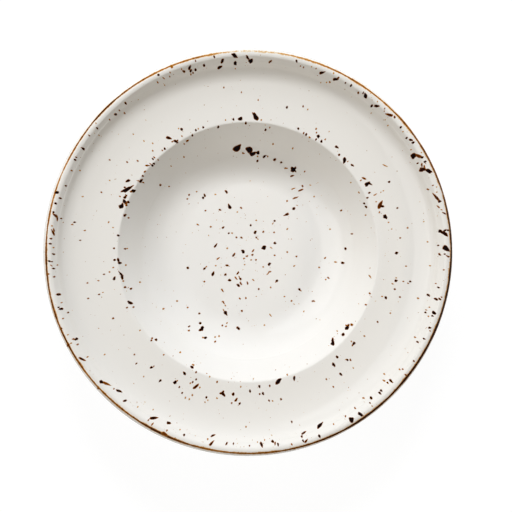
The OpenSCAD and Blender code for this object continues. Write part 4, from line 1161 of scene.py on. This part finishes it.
def fired_glaze_group(dust):
    """Fired glaze: thick inside the well, thin outside it and cloudy between the two, with iron
    dust, a long ripple and a fine peel in the height, and a gloss that varies a little"""
    tree, given, result = group_tree("Fired Glaze", [
        ("Thick", COLOUR, (0.8, 0.8, 0.8, 1)), ("Thin", COLOUR, (0.8, 0.8, 0.8, 1)),
        ("Well Radius", FLOAT, 1.0), ("Clouding", FLOAT, 0.6), ("Dust Share", FLOAT, 0.3),
        ("Gloss", FLOAT, 0.1),
    ], [("Color", COLOUR), ("Roughness", FLOAT), ("Height", FLOAT)])
    place = object_place(tree)
    clouds = graded(tree, noise(tree, place, CLOUDS, detail=3.0), low=0.35, high=0.7)
    parts = add(tree, "ShaderNodeSeparateXYZ", {"Vector": place}).outputs
    level = add(tree, "ShaderNodeCombineXYZ", {"X": parts["X"], "Y": parts["Y"]}).outputs[0]
    distance = add(tree, "ShaderNodeVectorMath", {0: level}, operation="LENGTH").outputs["Value"]
    out = count_up(tree, "DIVIDE", distance, given["Well Radius"])
    drained = graded(tree, out, DRAINED_FROM, DRAINED_TO)
    cloudy = count_up(tree, "MULTIPLY", clouds, given["Clouding"])
    amount = count_up(tree, "MAXIMUM", drained, cloudy)
    tint = blend(tree, amount, given["Thick"], given["Thin"])
    specks = add(tree, "ShaderNodeGroup", {
        "Base": tint, "Share": given["Dust Share"], **GLAZE_DUST}, node_tree=dust)
    ripple, peel = noise(tree, place, RIPPLE, detail=1.0), noise(tree, place, PEEL)
    plug(tree, result, {
        "Color": specks.outputs["Color"],
        "Height": count_up(tree, "MULTIPLY_ADD", peel, PEEL_SHARE, ripple),
        "Roughness": count_up(tree, "MULTIPLY_ADD", clouds, CLOUD_ROUGHNESS, given["Gloss"])})
    return tree


def shared_groups():
    """The two effects that several materials use, built once"""
    dust = bpy.data.node_groups.get("Iron Dust") or iron_dust_group()
    glaze = bpy.data.node_groups.get("Fired Glaze") or fired_glaze_group(dust)
    return dust, glaze


def bump(tree, height, strength, distance):
    """Normal of a bump whose full height is the distance"""
    return add(tree, "ShaderNodeBump", {
        "Height": height, "Strength": strength, "Distance": distance}).outputs["Normal"]


def glaze_material(name, finish, well_radius, clouding, dust_share):
    """Warm white gloss over the clay, which is thinner outside the well"""
    material, tree, shader = new_tree(name)
    coat = add(tree, "ShaderNodeGroup", {
        "Thick": (*finish.glaze, 1), "Thin": (*finish.thin_glaze, 1), "Well Radius": well_radius,
        "Clouding": clouding, "Dust Share": dust_share, "Gloss": finish.gloss},
        node_tree=shared_groups()[1]).outputs
    plug(tree, shader, {
        "Base Color": coat["Color"], "Roughness": coat["Roughness"],
        "Normal": bump(tree, coat["Height"], *GLAZE_BUMP)})
    return material


def clay_material(finish):
    """Bare clay: fine matt grain with iron dust, ground where it stands"""
    material, tree, shader = new_tree("fired_clay")
    place = object_place(tree)
    grain = noise(tree, place, GRAIN, detail=3.0, roughness=0.7)
    stain = noise(tree, place, STAINS)
    pale = blend(tree, graded(tree, grain, low=0.35, high=0.7), (*finish.clay, 1), PALE_CLAY)
    stained = graded(tree, stain, low=0.45, high=0.75, to_high=0.5)
    worn = blend(tree, stained, pale, STAINED_CLAY)
    specks = add(tree, "ShaderNodeGroup", {"Base": worn, **CLAY_DUST}, node_tree=shared_groups()[0])
    plug(tree, shader, {
        "Base Color": specks.outputs["Color"],
        "Roughness": graded(tree, grain, low=0.3, high=0.7, to_low=0.72, to_high=0.9),
        "Normal": bump(tree, grain, *CLAY_BUMP)})
    return material


def oxide_material(finish):
    """Brown oxide line: the mesh says how heavily it was laid, noise frays and streaks it, and
    the colour runs from bare glaze through tan and gold brown to near black"""
    material, tree, shader = new_tree("oxide_line")
    place = object_place(tree)
    drag = noise(tree, place, STREAKS, roughness=0.6)
    frayed = swayed(tree, point_value(tree, "laid"), drag, amount=0.6)
    heavy = swayed(tree, frayed, noise(tree, place, POOLS), amount=0.5)
    plug(tree, shader, {
        "Base Color": ramp(tree, heavy, [(0.0, tuple(finish.glaze)), *OXIDE_STOPS]),
        "Specular IOR Level": OXIDE_SPECULAR,
        "Roughness": graded(tree, heavy, low=0.1, high=1.0, to_low=finish.gloss, to_high=0.3),
        "Normal": bump(tree, heavy, *OXIDE_BUMP)})
    return material


def iron_material():
    """Burnt iron: the mesh says how far each spot has faded, from black through rust to tan"""
    material, tree, shader = new_tree("burnt_iron")
    blotch = noise(tree, object_place(tree), BLOTCHES)
    mixed = swayed(tree, point_value(tree, "faded"), blotch, amount=0.4)
    plug(tree, shader, {
        "Base Color": ramp(tree, mixed, IRON_STOPS),
        "Specular IOR Level": IRON_SPECULAR,
        "Roughness": graded(tree, blotch, low=0.3, high=0.7, to_low=0.14, to_high=0.26)})
    return material


def shown_rays(tree):
    """Socket that is 1 for the rays that show the stage: the camera's, and those that gloss or
    glass sends on"""
    seen = add(tree, "ShaderNodeLightPath").outputs
    either = count_up(tree, "MAXIMUM", seen["Is Camera Ray"], seen["Is Glossy Ray"])
    return count_up(tree, "MAXIMUM", either, seen["Is Transmission Ray"])


def floor_material():
    """Pale floor: the camera and reflections see near white that keeps the plate's shadow, and
    all other rays see a plain pale surface"""
    material, tree, shader = new_tree("studio_floor")
    tree.nodes.remove(shader)
    glow = add(tree, "ShaderNodeEmission", {"Color": WHITE, "Strength": FLOOR_GLOW}).outputs[0]
    veil = add(tree, "ShaderNodeBsdfDiffuse", {"Color": FLOOR_VEIL}).outputs[0]
    lit = add(tree, "ShaderNodeAddShader", {0: glow, 1: veil}).outputs[0]
    plain = add(tree, "ShaderNodeBsdfDiffuse", {"Color": FLOOR_GREY}).outputs[0]
    mix = add(tree, "ShaderNodeMixShader", {"Fac": shown_rays(tree), 1: plain, 2: lit}).outputs[0]
    plug(tree, tree.nodes["Material Output"], {"Surface": mix})
    return material


def surround_world(strength):
    """White room to the camera and to reflections, and a weak even light to all else"""
    world = bpy.data.worlds.new("studio_surround")
    world.use_nodes = True
    tree = world.node_tree
    level = graded(tree, shown_rays(tree), low=0.0, high=1.0, to_low=strength)
    plug(tree, tree.nodes["Background"], {"Color": WHITE, "Strength": level})
    bpy.context.scene.world = world


def round_place(azimuth, out, height):
    """Place at an azimuth in degrees, so far from the axis and so high"""
    turned = math.radians(azimuth)
    return out * math.cos(turned), out * math.sin(turned), height


def soft_box(name, place, width, depth, brightness, colour=(1, 1, 1)):
    """Rectangular area lamp that looks at the plate. Its power is pi times its area times its
    brightness, so the brightness is the radiance of its face."""
    lamp = bpy.data.lights.new(name, "AREA")
    lamp.shape = "RECTANGLE"
    lamp.size, lamp.size_y = width, depth
    lamp.color = colour
    lamp.energy = math.pi * width * depth * brightness
    box = placed(name, lamp)
    box.location = place
    box.rotation_euler = Vector(place).to_track_quat("Z", "Y").to_euler()
    box.visible_camera = False
    return box


def plate_settings():
    """The scene's three groups of settings"""
    scene = bpy.context.scene
    return scene.plate_form, scene.glaze_finish, scene.studio_light


class SOUPPLATE_OT_fired_clay(bpy.types.Operator):
    """Builds the clay body, from the well's floor to the lip and down to the bare foot ring"""

    bl_idname = "soup_plate.fired_clay"
    bl_label = "Fired Clay"

    def execute(self, context):
        form, finish, _ = plate_settings()
        section = section_of(form)
        lip = lip_rows(form, section, form.flare_slope, form.under_slope - HALF_TURN)[:, 0]
        under = np.concatenate([section.back, section.foot, section.base])
        run = strode(np.concatenate([section.face, lip, under - [0, 0, 2 * HALF_TURN]]))
        clay = np.column_stack([sunk(run, form.glaze_thickness), run[:, 2]])
        clay = clay[np.append(True, np.diff(lengths(clay)) > SAME_POINT)]
        clay[[0, -1], 0] = 0
        piece, _ = coat_mesh("clay_body", form, spun(clay, form.columns // 2))
        settle_piece(piece, "plate_body", clay_material(finish))
        return {"FINISHED"}


class SOUPPLATE_OT_face_glaze(bpy.types.Operator):
    """Builds the speckled coat on the eating side, up to the oxide line"""

    bl_idname = "soup_plate.face_glaze"
    bl_label = "Face Glaze"

    def execute(self, context):
        form, finish, _ = plate_settings()
        section = section_of(form)
        edge = line_edges(form, section, angles(form.columns))[0]
        well = form.diameter / 2 - form.rim_width
        rows = np.concatenate([
            spun(face_of(form, section), form.columns),
            lip_rows(form, section, form.flare_slope, edge)[1:]])
        piece, _ = coat_mesh("glazed_face", form, rows, form.glaze_thickness)
        material = glaze_material("speckled_glaze", finish, well, clouding=0.4, dust_share=0.3)
        settle_piece(piece, "face_glaze", material)
        return {"FINISHED"}


class SOUPPLATE_OT_edge_line(bpy.types.Operator):
    """Builds the banded oxide line round the lip"""

    bl_idname = "soup_plate.edge_line"
    bl_label = "Edge Line"

    def execute(self, context):
        form, finish, _ = plate_settings()
        section = section_of(form)
        start, end, laid = line_edges(form, section, angles(form.columns))
        rows = lip_rows(form, section, start, end)
        piece, used = coat_mesh("oxide_edge", form, rows, form.glaze_thickness)
        share = np.linspace(-1, 1, len(rows))[:, None]
        depth = BRUSH_LOAD * laid * (1 - share ** 2) ** BRUSH_FALL
        inside = np.zeros(used[-1] + 1 - depth.size)
        point_values(piece, "laid", np.append(depth, inside)[used])
        settle_piece(piece, "edge_line", oxide_material(finish))
        return {"FINISHED"}


class SOUPPLATE_OT_plain_glaze(bpy.types.Operator):
    """Builds the plain coats: outside down to the bare foot, and inside the foot ring"""

    bl_idname = "soup_plate.plain_glaze"
    bl_label = "Plain Glaze"

    def execute(self, context):
        form, finish, _ = plate_settings()
        section = section_of(form)
        columns, thick = form.columns, form.glaze_thickness
        edge = line_edges(form, section, angles(columns))[1]
        lip = lip_rows(form, section, edge, form.under_slope - HALF_TURN, OUTER_LIP_TURN)
        lip[..., 2] += 2 * HALF_TURN
        back = strode(np.concatenate([lip[-1:, 0], section.back]))
        back = beaded(back, thick, form.glaze_bead, at_end=True)
        material = glaze_material("plain_glaze", finish, NO_WELL, clouding=0.7, dust_share=0.06)
        rows = np.concatenate([lip, spun(back, columns)[1:]])
        piece, _ = coat_mesh("glazed_back", form, rows, thick)
        settle_piece(piece, "back_glaze", material)
        base = beaded(section.base, thick, form.glaze_bead, at_end=False)
        piece, _ = coat_mesh("glazed_base", form, spun(base, columns // 2), thick)
        settle_piece(piece, "base_glaze", material)
        return {"FINISHED"}


class SOUPPLATE_OT_iron_flecks(bpy.types.Operator):
    """Builds the burnt iron flecks of the face's glaze"""

    bl_idname = "soup_plate.iron_flecks"
    bl_label = "Iron Flecks"

    def execute(self, context):
        form, finish, _ = plate_settings()
        points, fade, quads, triangles = fleck_arrays(form, finish, section_of(form))
        piece, used = finished_mesh("iron_flecks", points, quads, triangles, None)
        point_values(piece, "faded", fade[used])
        settle_piece(piece, None, iron_material())
        return {"FINISHED"}


class SOUPPLATE_OT_stage(bpy.types.Operator):
    """Sets the pale floor, the soft boxes, the surround and the camera"""

    bl_idname = "soup_plate.stage"
    bl_label = "Stage"

    def execute(self, context):
        form, _, light = plate_settings()
        scene = context.scene
        reach = FLOOR_REACH
        mesh = bpy.data.meshes.new("studio_floor")
        corners = [(-reach, -reach, 0), (reach, -reach, 0), (reach, reach, 0), (-reach, reach, 0)]
        mesh.from_pydata(corners, [], [(0, 1, 2, 3)])
        mesh.materials.append(floor_material())
        placed("studio_floor", mesh)
        surround_world(light.surround)

        for name, azimuth, elevation, distance, width, height, brightness, colour in LIGHT_BOXES:
            raised = math.radians(elevation)
            place = round_place(azimuth, math.cos(raised) * distance, math.sin(raised) * distance)
            box = soft_box(name, place, width, height, brightness * light.strength, colour)
            box.visible_glossy = False
        out = GLOSS_HEIGHT * math.tan(GLOSS_NEAR_EDGE) + GLOSS_DEPTH / 2
        for name, azimuth, brightness in GLOSS_BOXES:
            place = round_place(azimuth, out, GLOSS_HEIGHT)
            box = soft_box(name, place, GLOSS_DEPTH, GLOSS_WIDTH, brightness)
            box.rotation_euler = (0, 0, math.radians(azimuth))
            box.visible_diffuse = False

        camera = bpy.data.cameras.new("camera")
        camera.sensor_width = SENSOR_WIDTH
        camera.lens = camera.sensor_width * light.camera_distance / light.frame_width
        camera.clip_start, camera.clip_end = SIGHT
        eye = placed("camera", camera)
        eye.location = (light.frame_right, -light.frame_down, form.height + light.camera_distance)
        scene.camera = eye
        scene.view_settings.view_transform = "Standard"
        return {"FINISHED"}


class SOUPPLATE_PT_panel(bpy.types.Panel):
    """Lists the plate's pieces and settings"""

    bl_label = "Soup Plate"
    bl_idname = "SOUPPLATE_PT_panel"
    bl_space_type = "VIEW_3D"
    bl_region_type = "UI"
    bl_category = "Soup Plate"

    def draw(self, context):
        for operator in OPERATORS:
            self.layout.operator(operator.bl_idname)
        for settings in plate_settings():
            box = self.layout.box()
            for name in settings.__annotations__:
                box.prop(settings, name)


OPERATORS = (
    SOUPPLATE_OT_fired_clay,
    SOUPPLATE_OT_face_glaze,
    SOUPPLATE_OT_edge_line,
    SOUPPLATE_OT_plain_glaze,
    SOUPPLATE_OT_iron_flecks,
    SOUPPLATE_OT_stage,
)
CLASSES = (PlateForm, GlazeFinish, StudioLight, *OPERATORS, SOUPPLATE_PT_panel)


def register():
    """Makes the classes known, and gives the scene its three groups of settings"""
    for made in CLASSES:
        bpy.utils.register_class(made)
    bpy.types.Scene.plate_form = PointerProperty(type=PlateForm)
    bpy.types.Scene.glaze_finish = PointerProperty(type=GlazeFinish)
    bpy.types.Scene.studio_light = PointerProperty(type=StudioLight)


def unregister():
    """Takes away what register added"""
    del bpy.types.Scene.studio_light
    del bpy.types.Scene.glaze_finish
    del bpy.types.Scene.plate_form
    for made in reversed(CLASSES):
        bpy.utils.unregister_class(made)


def main():
    """Builds the pieces and the stage"""
    register()
    bpy.ops.soup_plate.fired_clay()
    bpy.ops.soup_plate.face_glaze()
    bpy.ops.soup_plate.edge_line()
    bpy.ops.soup_plate.plain_glaze()
    bpy.ops.soup_plate.iron_flecks()
    bpy.ops.soup_plate.stage()


if __name__ == "__main__":
    main()
